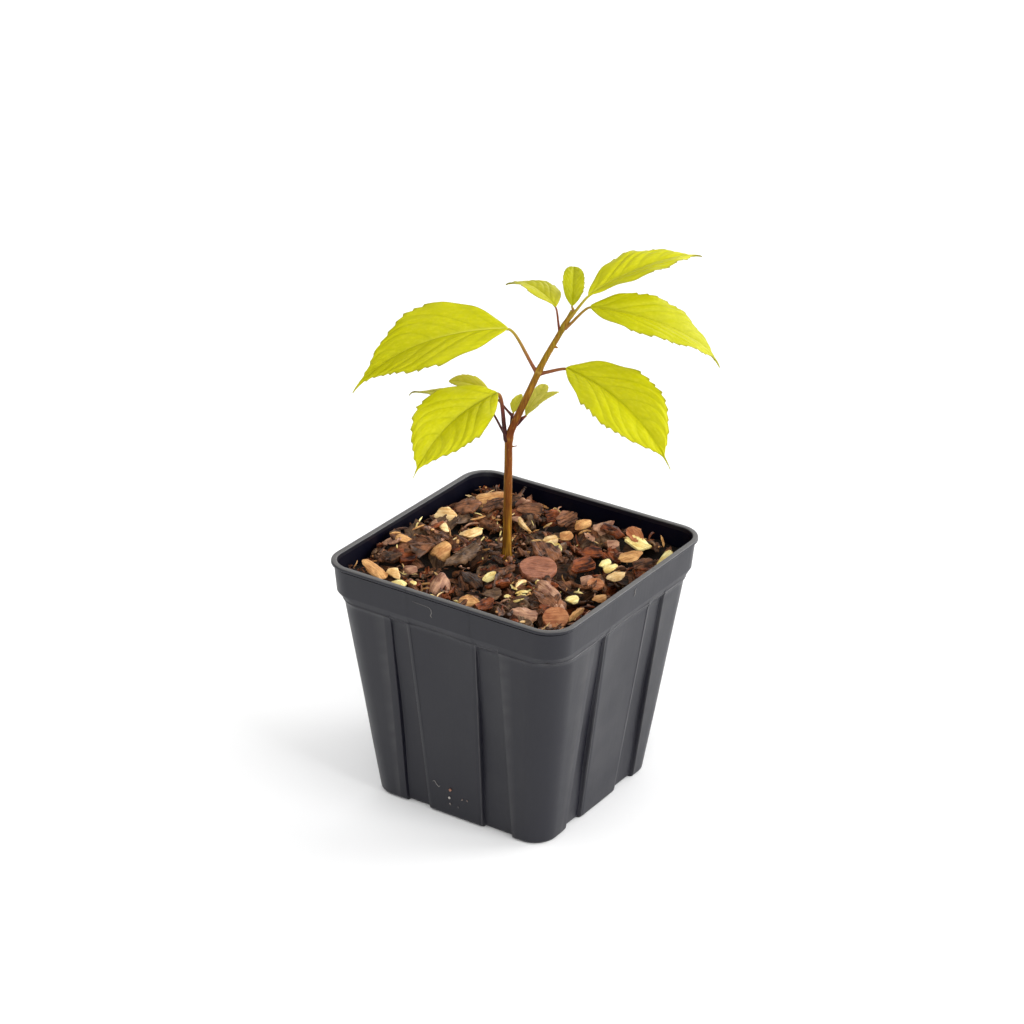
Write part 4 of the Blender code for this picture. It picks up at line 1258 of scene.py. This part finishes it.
LEAVES = (
    Leaf("leaf_upper_left", NODE_MIDDLE, 205, 17.0, 210, 55,
         Blade(218, 0, 56, -13, -30, -5, 55.5, 23.7, 0.43, 1.65, 0.9, 0.10),
         0.6, (0.72, 0.10), rib=0.9),
    Leaf("leaf_middle_right", NODE_MIDDLE, 25, 8.7, 23, 12,
         Blade(1, -9, 33, -25, 22, -7, 49.3, 22.6, 0.48, 1.25, 0.8, 0.15),
         0.6, (0.66, 0.5), rib=-0.7),
    Leaf("leaf_lower_front", NODE_LOW, 240, 15.7, 212, 76,
         Blade(252, -6, 36, 22, -22, 7, 42.6, 21.9, 0.46, 1.25, 0.85, 0.12),
         0.75, (1.35, 0.35), rib=-0.8),
    Leaf("leaf_lower_back", NODE_LOW, 165, 12.9, 191, 52,
         Blade(184, 0, 13, -8, 6, 4, 30.2, 11.3, 0.37, 0.85, 1.1, 0.30, 40),
         0.42, (0.95, 0.85), 0.7, tone=0.95, dry=1.0),
    Leaf("leaf_upper_right", NODE_HIGH, 10, 10.4, 27, 41,
         Blade(15, -1, 57, 56, 25, -2, 50.0, 17.1, 0.41, 0.85, 0.75, 0.15),
         0.5, (0.5, 0.25), tone=0.17),
    Leaf("leaf_top_left", NODE_HIGH - 1.6, 213, 7.9, 213, 76,
         Blade(153, 17, 42, 14, 11, -2, 26.8, 12.7, 0.38, 1.3, 1.0, 0.22, 8),
         0.4, (0.8, 0.6), tone=0.6, dry=0.9),
    Leaf("leaf_top_right", NODE_TOP, 330, 8.5, 31, 52,
         Blade(65, 21, 32, 2, -1, -2, 43.5, 18.2, 0.46, 1.05, 0.9, 0.16, 5),
         0.5, (0.3, 0.05), rib=0.8, dry=0.9),
    Leaf("leaf_tip", STEM_LENGTH, 33, 1.6, 150, 70,
         Blade(119, 54, 43, 4, 9, -3, 15.0, 6.8, 0.50, 0.5, 0.8, 0.0),
         0.45, (0.45, 0.2), 0.9, tone=0.0),
)

# Short side shoots in the lowest node's axils: name, node, length, heading, pitch and young leaves
SHOOTS = (
    ("side_shoot_left", NODE_SHOOTS, 5.8, 111, 67, (
        Leaf("young_leaf_left", 0, 0, 9.1, 189, 39,
             Blade(201, 25, 36, -8, -13, -5, 14.5, 6.7, 0.46, 0.7, 1.5, 0.0),
             0.4, (0.95, 0.7), 0.5, tone=1.0),
        Leaf("young_leaf_upright", 0, 0, 0.4, 90, 20,
             Blade(90, 49, 10, 1, -1, 0, 6.8, 4.0, 0.45, 0.8, 1.1, 0.0),
             0.4, (0.9, 0.5), 0.5, tone=0.7),
    )),
    ("side_shoot_right", NODE_SHOOTS + 3.0, 3.6, 48, 32, (
        Leaf("young_leaf_back", 0, 0, 1.0, 42, 52,
             Blade(75, 39, 5, 19, -6, 2, 12.3, 5.7, 0.43, 0.4, 1.05, 0.0),
             0.4, (0.9, 0.5), 0.5, tone=0.85),
        Leaf("young_leaf_right", 0, 0, 1.0, 43, 54,
             Blade(49, 51, 40, -3, 2, 0, 13.1, 5.1, 0.40, 0.9, 1.0, 0.0),
             0.4, (0.9, 0.5), 0.5, tone=0.85),
    )),
)


def midrib(base, blade):
    """Points, directions, sides and normals along the blade's midrib, as arrays."""
    frames = []
    point = base.copy()
    for i in range(RIB_LINES + 1):
        share = i / RIB_LINES
        pitch = blade.rise - blade.droop * share ** DROOP_POWER - blade.hook * smoothstep(share, HOOK_SPAN)
        ahead = direction(blade.heading + blade.bend * share, pitch)
        if i:
            point = point + (ahead + last).normalized() * (blade.length / RIB_LINES)
        last = ahead
        level = UP.cross(ahead).normalized()
        above = ahead.cross(level)
        roll = math.radians(blade.roll + blade.twist * share)
        side = level * math.cos(roll) + above * math.sin(roll)
        normal = above * math.cos(roll) - level * math.sin(roll)
        frames.append((*point, *ahead, *side, *normal))
    return np.array(frames)


def at_shares(frames, shares):
    """The midrib's frames at shares of its length."""
    places = np.linspace(0, 1, len(frames))
    return np.stack([np.interp(shares, places, column) for column in frames.T], axis=-1)


def half_widths(blade, share):
    """Half the width of the blade at shares of its length, with a drip tip drawn out past its body."""
    end = 1 - TAIL_UNDER * blade.tail
    before = np.clip(1 - share / blade.belly, 0, 1)
    beyond = np.clip((share - blade.belly) / (end - blade.belly), 0, 1)
    rear = (1 - before) ** blade.base * (1 + blade.base * before)
    front = (1 - beyond) ** blade.tip * (1 + blade.tip * beyond)
    body = blade.width / 2 * np.where(share < blade.belly, rear, front)
    if blade.tail:
        strip = np.clip((1 - share) / blade.tail, 0, 1) * TAIL_HALF_SHARE * blade.width
        body = np.where(share > blade.belly, np.hypot(body, strip), body)
    return np.maximum(body, TIP_HALF)


def lateral_gain(root):
    """How much further along the blade a side vein meets the margin than it left the midrib."""
    return LATERAL_REACH * (1 - root) * (1 - np.exp(-root / LATERAL_SOON))


def tooth_reach(blade, shares, chance):
    """How far the margin stands out as teeth, and how near it is to a tooth's point."""
    reach = np.zeros_like(shares)
    point = np.zeros_like(shares)
    depth = min(TOOTH_DEPTH, TOOTH_DEPTH_SHARE * blade.width)
    start = TOOTH_FROM * chance.uniform(0.7, 1.5)
    while start < TOOTH_TO - 0.5 * blade.tail:
        pitch = lerp(*TOOTH_PITCH, start) * min(1.0, (blade.width / 22) ** 0.6)
        pitch *= chance.uniform(0.65, 1.35) / blade.length
        u = (shares - start) / pitch
        rising = np.clip(u / TOOTH_PEAK, 0, 1) ** 1.15
        falling = np.clip((1 - u) / (1 - TOOTH_PEAK), 0, 1)
        tooth = np.where((u > 0) & (u < 1), np.minimum(rising, falling), 0)
        reach += depth * chance.uniform(0.6, 1.2) * min(1.0, 1.5 - start) * tooth
        point += tooth ** 3
        start += pitch
    return reach, point


def ladder(phase, cell, aside, chance):
    """Rungs of fine veins that cross from one side vein to the next, -1 to 1, still at the side veins."""
    shifts = np.array([[chance.uniform(0, 1) for _ in range(2)] for _ in range(int(cell.max()) + 1)])
    shift = shifts[cell.astype(int)[:, None], (aside > 0).astype(int)]
    slant = LADDER_SLANT * (phase - 0.5)[:, None]
    rung = np.sin(FULL_TURN * (np.abs(aside) / LADDER_PITCH + shift + slant))
    return rung * np.sin(math.pi * phase)[:, None] ** 0.5


def blade_skins(frames, leaf, chance):
    """Upper and lower skin of a blade: rows run out along its side veins, quilted between them."""
    blade, age = leaf.blade, leaf.age
    rows = max(FEWEST_ROWS, round(blade.length / ROW_STEP))
    roots = np.linspace(0, 1, 801)
    margin = np.linspace(0, 1, rows)
    root = np.interp(margin, roots + lateral_gain(roots), roots)
    columns = max(FEWEST_COLUMNS, round(blade.width / 2 / COLUMN_STEP))
    inner = np.linspace(0, 1, columns + 1) ** 1.1
    out = np.concatenate([inner[inner < EDGE_LINES[0] - 0.01], EDGE_LINES])
    across = np.concatenate([-out[:0:-1], out])
    out = np.abs(across)
    share = root[:, None] + lateral_gain(root)[:, None] * out[None, :] ** LATERAL_CURVE
    share = np.minimum(share, 1.0)
    half = half_widths(blade, share)
    sides = [tooth_reach(blade, margin, chance) for _ in range(2)]
    teeth, points = [np.where(across < 0, sides[0][k][:, None], sides[1][k][:, None]) for k in range(2)]
    teeth = teeth * np.clip((out - 0.8) / 0.2, 0, 1) ** 2
    veins = np.linspace(LATERAL_FROM ** LATERAL_SPREAD, LATERAL_TO ** LATERAL_SPREAD, LATERALS)
    veins = veins ** (1 / LATERAL_SPREAD)
    places = np.concatenate([[-0.05], veins, [1.0]])
    step = np.interp(root, places, np.arange(len(places)))
    cell = np.minimum(np.floor(step), len(places) - 2)
    phase = step - cell
    spread = np.clip(out / 0.22, 0, 1) * np.clip((1 - out) / 0.16, 0.2, 1)
    pillow = np.sin(math.pi * phase)[:, None] * spread
    aside = across * half
    lift = half * (out * math.sin(BLADE_FOLD) + BLADE_DOME * out * (1 - out))
    lift = lift + min(QUILT, QUILT_SHARE * blade.width) * age * pillow
    lift = lift + LADDER_DEPTH * age * ladder(phase, cell, aside, chance) * spread
    shift = np.where(across < 0, chance.uniform(0, 6), chance.uniform(0, 6))
    wave = np.sin(share * blade.length / MARGIN_WAVE_LENGTH * FULL_TURN + shift) * out ** 3
    lift = lift + MARGIN_WAVE * age * wave * np.clip(half / 4, 0, 1)
    rib = np.exp(-(aside / MIDRIB_HALF) ** 2) * np.clip(1.1 - share, 0, 1)
    lift = lift - MIDRIB_DEPTH * age * rib
    spots = at_shares(frames, share)
    point, side, normal = spots[..., 0:3], spots[..., 6:9], spots[..., 9:12]
    reach = (aside + np.sign(across) * teeth) * math.cos(BLADE_FOLD)
    middle = point + side * reach[..., None] + normal * lift[..., None]
    thick = BLADE_THICKNESS * (0.75 + 0.25 * age) * (1 - (1 - EDGE_SHARE) * out ** 2)[None, :, None] / 2
    near = np.min(np.abs(root[:, None] - veins), axis=1) * blade.length
    line = np.exp(-(near / SIDE_VEIN_HALF) ** 2)[:, None] * np.clip(1.1 - out, 0, 1) * (1 - rib)
    rim = np.clip((out - EDGE_LINES[0]) / (1 - EDGE_LINES[0]), 0, 1)
    tip = np.clip((share - 1 + 0.8 * blade.tail) / max(0.5 * blade.tail, 0.02), 0, 1)
    edge = np.maximum(rim * np.clip(0.45 + 0.55 * points, 0, 1), leaf.dry * tip)
    grain = np.stack([root[:, None] * blade.length + 0 * aside, aside], axis=-1)
    fade = np.clip(RIB_FADE - share, 0, RIB_FADE) / RIB_FADE
    # The fold and side-vein mask is darkened on the upper side as painted shade
    values = {
        "rib": rib * max(leaf.rib, 0.0) * fade, "crease": np.maximum(rib * max(-leaf.rib, 0.0), 0.55 * line),
        "edge": edge, "pillow": pillow, "tone": np.full_like(share, leaf.tone)}
    return middle + normal * thick, middle - normal * thick, values, grain


def add_blade(shape, frames, leaf, chance):
    """Closed thin blade: both skins, joined round the margin."""
    upper, lower, values, grain = blade_skins(frames, leaf, chance)
    rows, columns = upper.shape[:2]
    count = rows * columns
    points = np.concatenate([upper.reshape(-1, 3), lower.reshape(-1, 3)])
    top = grid_faces(rows, columns, False)
    rim = []
    for a in range(0, count - columns, columns):
        b = a + columns - 1
        rim.append((a + columns, a, a + count, a + columns + count))
        rim.append((b, b + columns, b + columns + count, b + count))
    for c in range(columns - 1):
        d = count - columns + c
        rim += [(c + 1 + count, c + count, c, c + 1), (d + count, d + 1 + count, d + 1, d)]
    faces = top + [tuple(count + v for v in reversed(face)) for face in top] + rim
    finishes = [0] * len(top) + [1] * len(top) + [0] * len(rim)
    both = {key: np.tile(value.ravel(), 2) for key, value in values.items()}
    shape.add(points, faces, finishes, np.tile(grain.reshape(-1, 2), (2, 1)), **both)


def curve_points(start, start_way, end, end_way, count):
    """Points on a smooth curve that sets off and arrives in the given directions."""
    reach = (end - start).length
    first = start + start_way * (START_PULL * reach)
    second = end - end_way * (END_PULL * reach)
    points = []
    for i in range(count):
        t = i / (count - 1)
        near = start * (1 - t) ** 3 + first * (3 * t * (1 - t) ** 2)
        points.append(near + second * (3 * t * t * (1 - t)) + end * t ** 3)
    return points


def add_stalk(shape, leaf, root, frames):
    """One tube that is the stalk, and then the midrib standing out under the blade."""
    end_radius = leaf.stalk_radius * STALK_TAPER
    shares = np.linspace(0, RIB_END, RIB_STEPS + 1)
    rib_radii = [lerp(end_radius * 0.85, RIB_TIP_RADIUS, (share / RIB_END) ** 0.7) for share in shares]
    spots = at_shares(frames, shares)
    under = []
    for row, radius in zip(spots, rib_radii):
        under.append(Vector(row[0:3]) - Vector(row[9:12]) * (radius + RIB_SUNK))
    way = direction(leaf.heading, leaf.pitch)
    stalk = root + curve_points(root[-1], way, under[0], Vector(spots[0][3:6]), STALK_STEPS)[1:]
    radii, tints = [], []
    run = 0.0
    for i, point in enumerate(stalk):
        run += (point - stalk[max(i - 1, 0)]).length
        share = i / (len(stalk) - 1)
        swell = 1 + STALK_BASE_SWELL * bell(run, STALK_SWELL_REACH)
        radii.append(lerp(leaf.stalk_radius, end_radius, share) * swell)
        tints.append(lerp(*leaf.tints, share))
    tints += [0.0] * RIB_STEPS
    points, faces = tube(stalk + under[1:], radii + rib_radii[1:], STALK_SIDES)
    shape.add(points, faces, 2, tint=np.clip(np.repeat(tints, STALK_SIDES), 0, 1))


def leaf_finish():
    """Upper side of a leaf: lime yellow, with painted shade in its quilting's hollows and along its fold and
    side veins, a pale midrib that is partly painted highlight, and dull at its margin.
    """
    finish = Finish("leaf_upper_side", 0.5, 0.12)
    colour = finish.ramp(
        finish.value("tone"), (0.0, (0.27, 0.28, 0.0004)), (0.3, (0.45, 0.44, 0.0004)),
        (0.6, (0.46, 0.44, 0.025)), (0.85, (0.66, 0.61, 0.12)), (0.94, (0.43, 0.38, 0.035)))
    broad = finish.ramp(finish.noise(9), (0.35, 0.0), (0.65, 0.35))
    colour = finish.mix(broad, colour, (0.50, 0.475, 0.002))
    mottle = finish.ramp(finish.noise(1.1, 4.0), (0.42, 0.0), (0.75, 0.35))
    colour = finish.mix(mottle, colour, (0.54, 0.51, 0.035))
    net = finish.ramp(finish.cells(1.0, (0.55, 1.0, 1)), (0.25, 0.0), (0.65, 0.30))
    colour = finish.mix(net, colour, (0.33, 0.33, 0.0))
    # Painted shade in the hollows of the quilting, next to the side veins
    valley_shade = finish.ramp(finish.value("pillow"), (0.0, 0.16), (0.4, 0.0))
    colour = finish.mix(valley_shade, colour, (0.28, 0.29, 0.0))
    # Painted shade along the midrib's fold and the sunken side veins
    colour = finish.tint((0.20, 0.21, 0.0), "crease", 0.45, colour)
    # A pale midrib line, partly the midrib's own paler colour and partly painted highlight
    colour = finish.tint((0.68, 0.66, 0.10), "rib", 0.8, colour)
    colour = finish.tint((0.12, 0.105, 0.025), "edge", 0.85, colour)
    normal = finish.bump(finish.noise(0.35, 2.0), 0.03, 0.5, finish.bump(net, 0.10, 0.5))
    return leaf_glow(finish, colour, normal)


def leaf_glow(finish, colour, normal):
    """Let some light through the thin blade, and hand back the material."""
    finish.set("Subsurface Weight", 0.25)
    finish.set("Subsurface Radius", (1.0, 1.0, 0.1))
    finish.set("Subsurface Scale", 0.6 * MM)
    return finish.done(colour, normal)


def under_finish():
    """Under side of a leaf: paler and duller, with the veins standing out."""
    finish = Finish("leaf_under_side", 0.6, 0.2)
    colour = finish.mix(finish.noise(2.5, 4.0), (0.40, 0.40, 0.03), (0.50, 0.48, 0.09))
    colour = finish.tint((0.46, 0.43, 0.14), "crease", 0.6, colour)
    colour = finish.tint((0.12, 0.105, 0.025), "edge", 0.8, colour)
    ribbing = finish.noise(1.0, 2.0, stretch=(0.30, 1.0, 1), grain=True)
    return leaf_glow(finish, colour, finish.bump(ribbing, 0.2, 0.6))


def stalk_finish():
    """Stalk: olive yellow to dark purple by its tint, with fine streaks."""
    finish = Finish("leaf_stalk", 0.42, 0.2)
    tone = finish.ramp(
        finish.value("tint"), (0.0, (0.36, 0.34, 0.010)), (0.25, (0.30, 0.20, 0.018)),
        (0.55, (0.21, 0.070, 0.020)), (0.8, (0.11, 0.018, 0.014)), (1.0, (0.032, 0.0025, 0.004)))
    streaks = finish.noise(0.4)
    colour = finish.mix(finish.ramp(streaks, (0.45, 0.0), (0.8, 0.3)), tone, (0.25, 0.11, 0.03))
    return finish.done(colour, finish.bump(streaks, 0.05, 0.5))


def stalk_root(along, seat):
    """Points from inside the stem to the bark on one side of it, where a stalk sets off."""
    centre = stem_point(along)
    stem_way = stem_direction(along)
    if along >= STEM_LENGTH:
        return [centre - stem_way, centre + stem_way * CLEAR]
    level = direction(seat, 0)
    out = (level - stem_way * level.dot(stem_way)).normalized()
    return [centre + out * (stem_radius(along) * share) - stem_way * drop for share, drop in ROOT_STEPS]


def add_leaf(shape, leaf, start, root, chance):
    """A leaf's blade, then its stalk from the points that root it."""
    frames = midrib(start + direction(leaf.heading, leaf.pitch) * leaf.stalk, leaf.blade)
    add_blade(shape, frames, leaf, chance)
    add_stalk(shape, leaf, root, frames)


def make_leaves():
    """Every leaf and side shoot, each in place of its CAD node."""
    materials = [leaf_finish(), under_finish(), stalk_finish()]
    shapes = []
    for number, leaf in enumerate(LEAVES):
        shape = Shape()
        add_leaf(shape, leaf, stem_point(leaf.node), stalk_root(leaf.node, leaf.seat), random.Random(number))
        shapes.append((leaf.name, shape))
    for number, (name, node, length, heading, pitch, pair) in enumerate(SHOOTS):
        chance = random.Random(SHOOT_SEED + number)
        shape = Shape()
        way = direction(heading, pitch)
        end = stem_point(node) + way * length
        twig = stalk_root(node, heading)
        twig += curve_points(twig[-1], way, end, way, TWIG_STEPS)[1:]
        shape.add(*tube(twig, [TWIG_RADIUS] * len(twig), STALK_SIDES), 2, tint=0.95)
        for leaf in pair:
            add_leaf(shape, leaf, end, [end - way * TWIG_RADIUS], chance)
        shapes.append((name, shape))
    for name, shape in shapes:
        dress(shape.build(name + "_mesh", materials, SHARP_LEAF), name)


# Stage, light and camera


def studio_room():
    """White room, dimmer on one side, in front of a white backdrop."""
    world = bpy.data.worlds.new("studio")
    world.use_nodes = True
    tree = world.node_tree
    place = add_node(tree, "ShaderNodeTexCoord", {}).outputs["Generated"]
    inputs = {0: place, 1: direction(ROOM_DIM_SIDE, 0)}
    toward = add_node(tree, "ShaderNodeVectorMath", inputs, operation="DOT_PRODUCT").outputs["Value"]
    inputs = {"Value": toward, "From Min": ROOM_TURN[0], "From Max": ROOM_TURN[1],
              "To Min": ROOM_BRIGHT, "To Max": ROOM_DIM}
    level = add_node(tree, "ShaderNodeMapRange", inputs, interpolation_type="SMOOTHSTEP").outputs["Result"]
    seen = add_node(tree, "ShaderNodeLightPath", {}).outputs["Is Camera Ray"]
    strength = add_node(tree, "ShaderNodeMix", {0: seen, 2: level, 3: BACKDROP}).outputs[0]
    sky = tree.nodes["Background"]
    sky.inputs["Color"].default_value = (1, 1, 1, 1)
    tree.links.new(strength, sky.inputs["Strength"])
    return world


def make_stage():
    """Pale floor with the faintest unevenness, white surroundings and soft lights."""
    finish = Finish("studio_floor", 0.9, 0.0)
    pale = finish.done(finish.mix(finish.noise(400, 2.0), (0.90, 0.90, 0.90), (0.91, 0.91, 0.91)))
    half = FLOOR_SIDE / 2
    shape = Shape()
    corners = [(-half, -half), (half, -half), (half, half), (-half, half)]
    shape.add([(x, y, -FLOOR_DROP) for x, y in corners], [(0, 1, 2, 3)])
    floor = shape.build("studio_floor", [pale])
    scene = bpy.context.scene
    scene.world = studio_room()
    scene.view_settings.view_transform = "Standard"
    for name, heading, pitch, width, strength in LAMPS:
        light = bpy.data.lights.new(name, "SUN")
        light.angle = math.radians(width)
        light.energy = strength
        made = bpy.data.objects.new(name, light)
        made.location = direction(heading, pitch)
        made.rotation_mode = "QUATERNION"
        made.rotation_quaternion = made.location.to_track_quat("Z", "Y")
        scene.collection.objects.link(made)


def make_camera():
    """Camera at the photo's viewing angle."""
    roll = math.radians(CAMERA_ROLL)
    back = direction(CAMERA_AZIMUTH - 90, CAMERA_ELEVATION)
    level = direction(CAMERA_AZIMUTH, 0)
    upright = back.cross(level)
    right = level * math.cos(roll) + upright * math.sin(roll)
    above = upright * math.cos(roll) - level * math.sin(roll)
    data = bpy.data.cameras.new("camera")
    data.lens = CAMERA_LENS
    data.sensor_width = SENSOR
    data.clip_start, data.clip_end = CAMERA_CLIP
    camera = bpy.data.objects.new("camera", data)
    turn = Matrix((right, above, back)).transposed().to_4x4()
    place = (back * CAMERA_DISTANCE + right * CAMERA_ASIDE + above * CAMERA_RAISED) * MM
    camera.matrix_world = Matrix.Translation(place) @ turn
    bpy.context.scene.collection.objects.link(camera)
    bpy.context.scene.camera = camera


make_camera()
make_stage()
make_pot()
make_mix()
make_stem()
make_leaves()
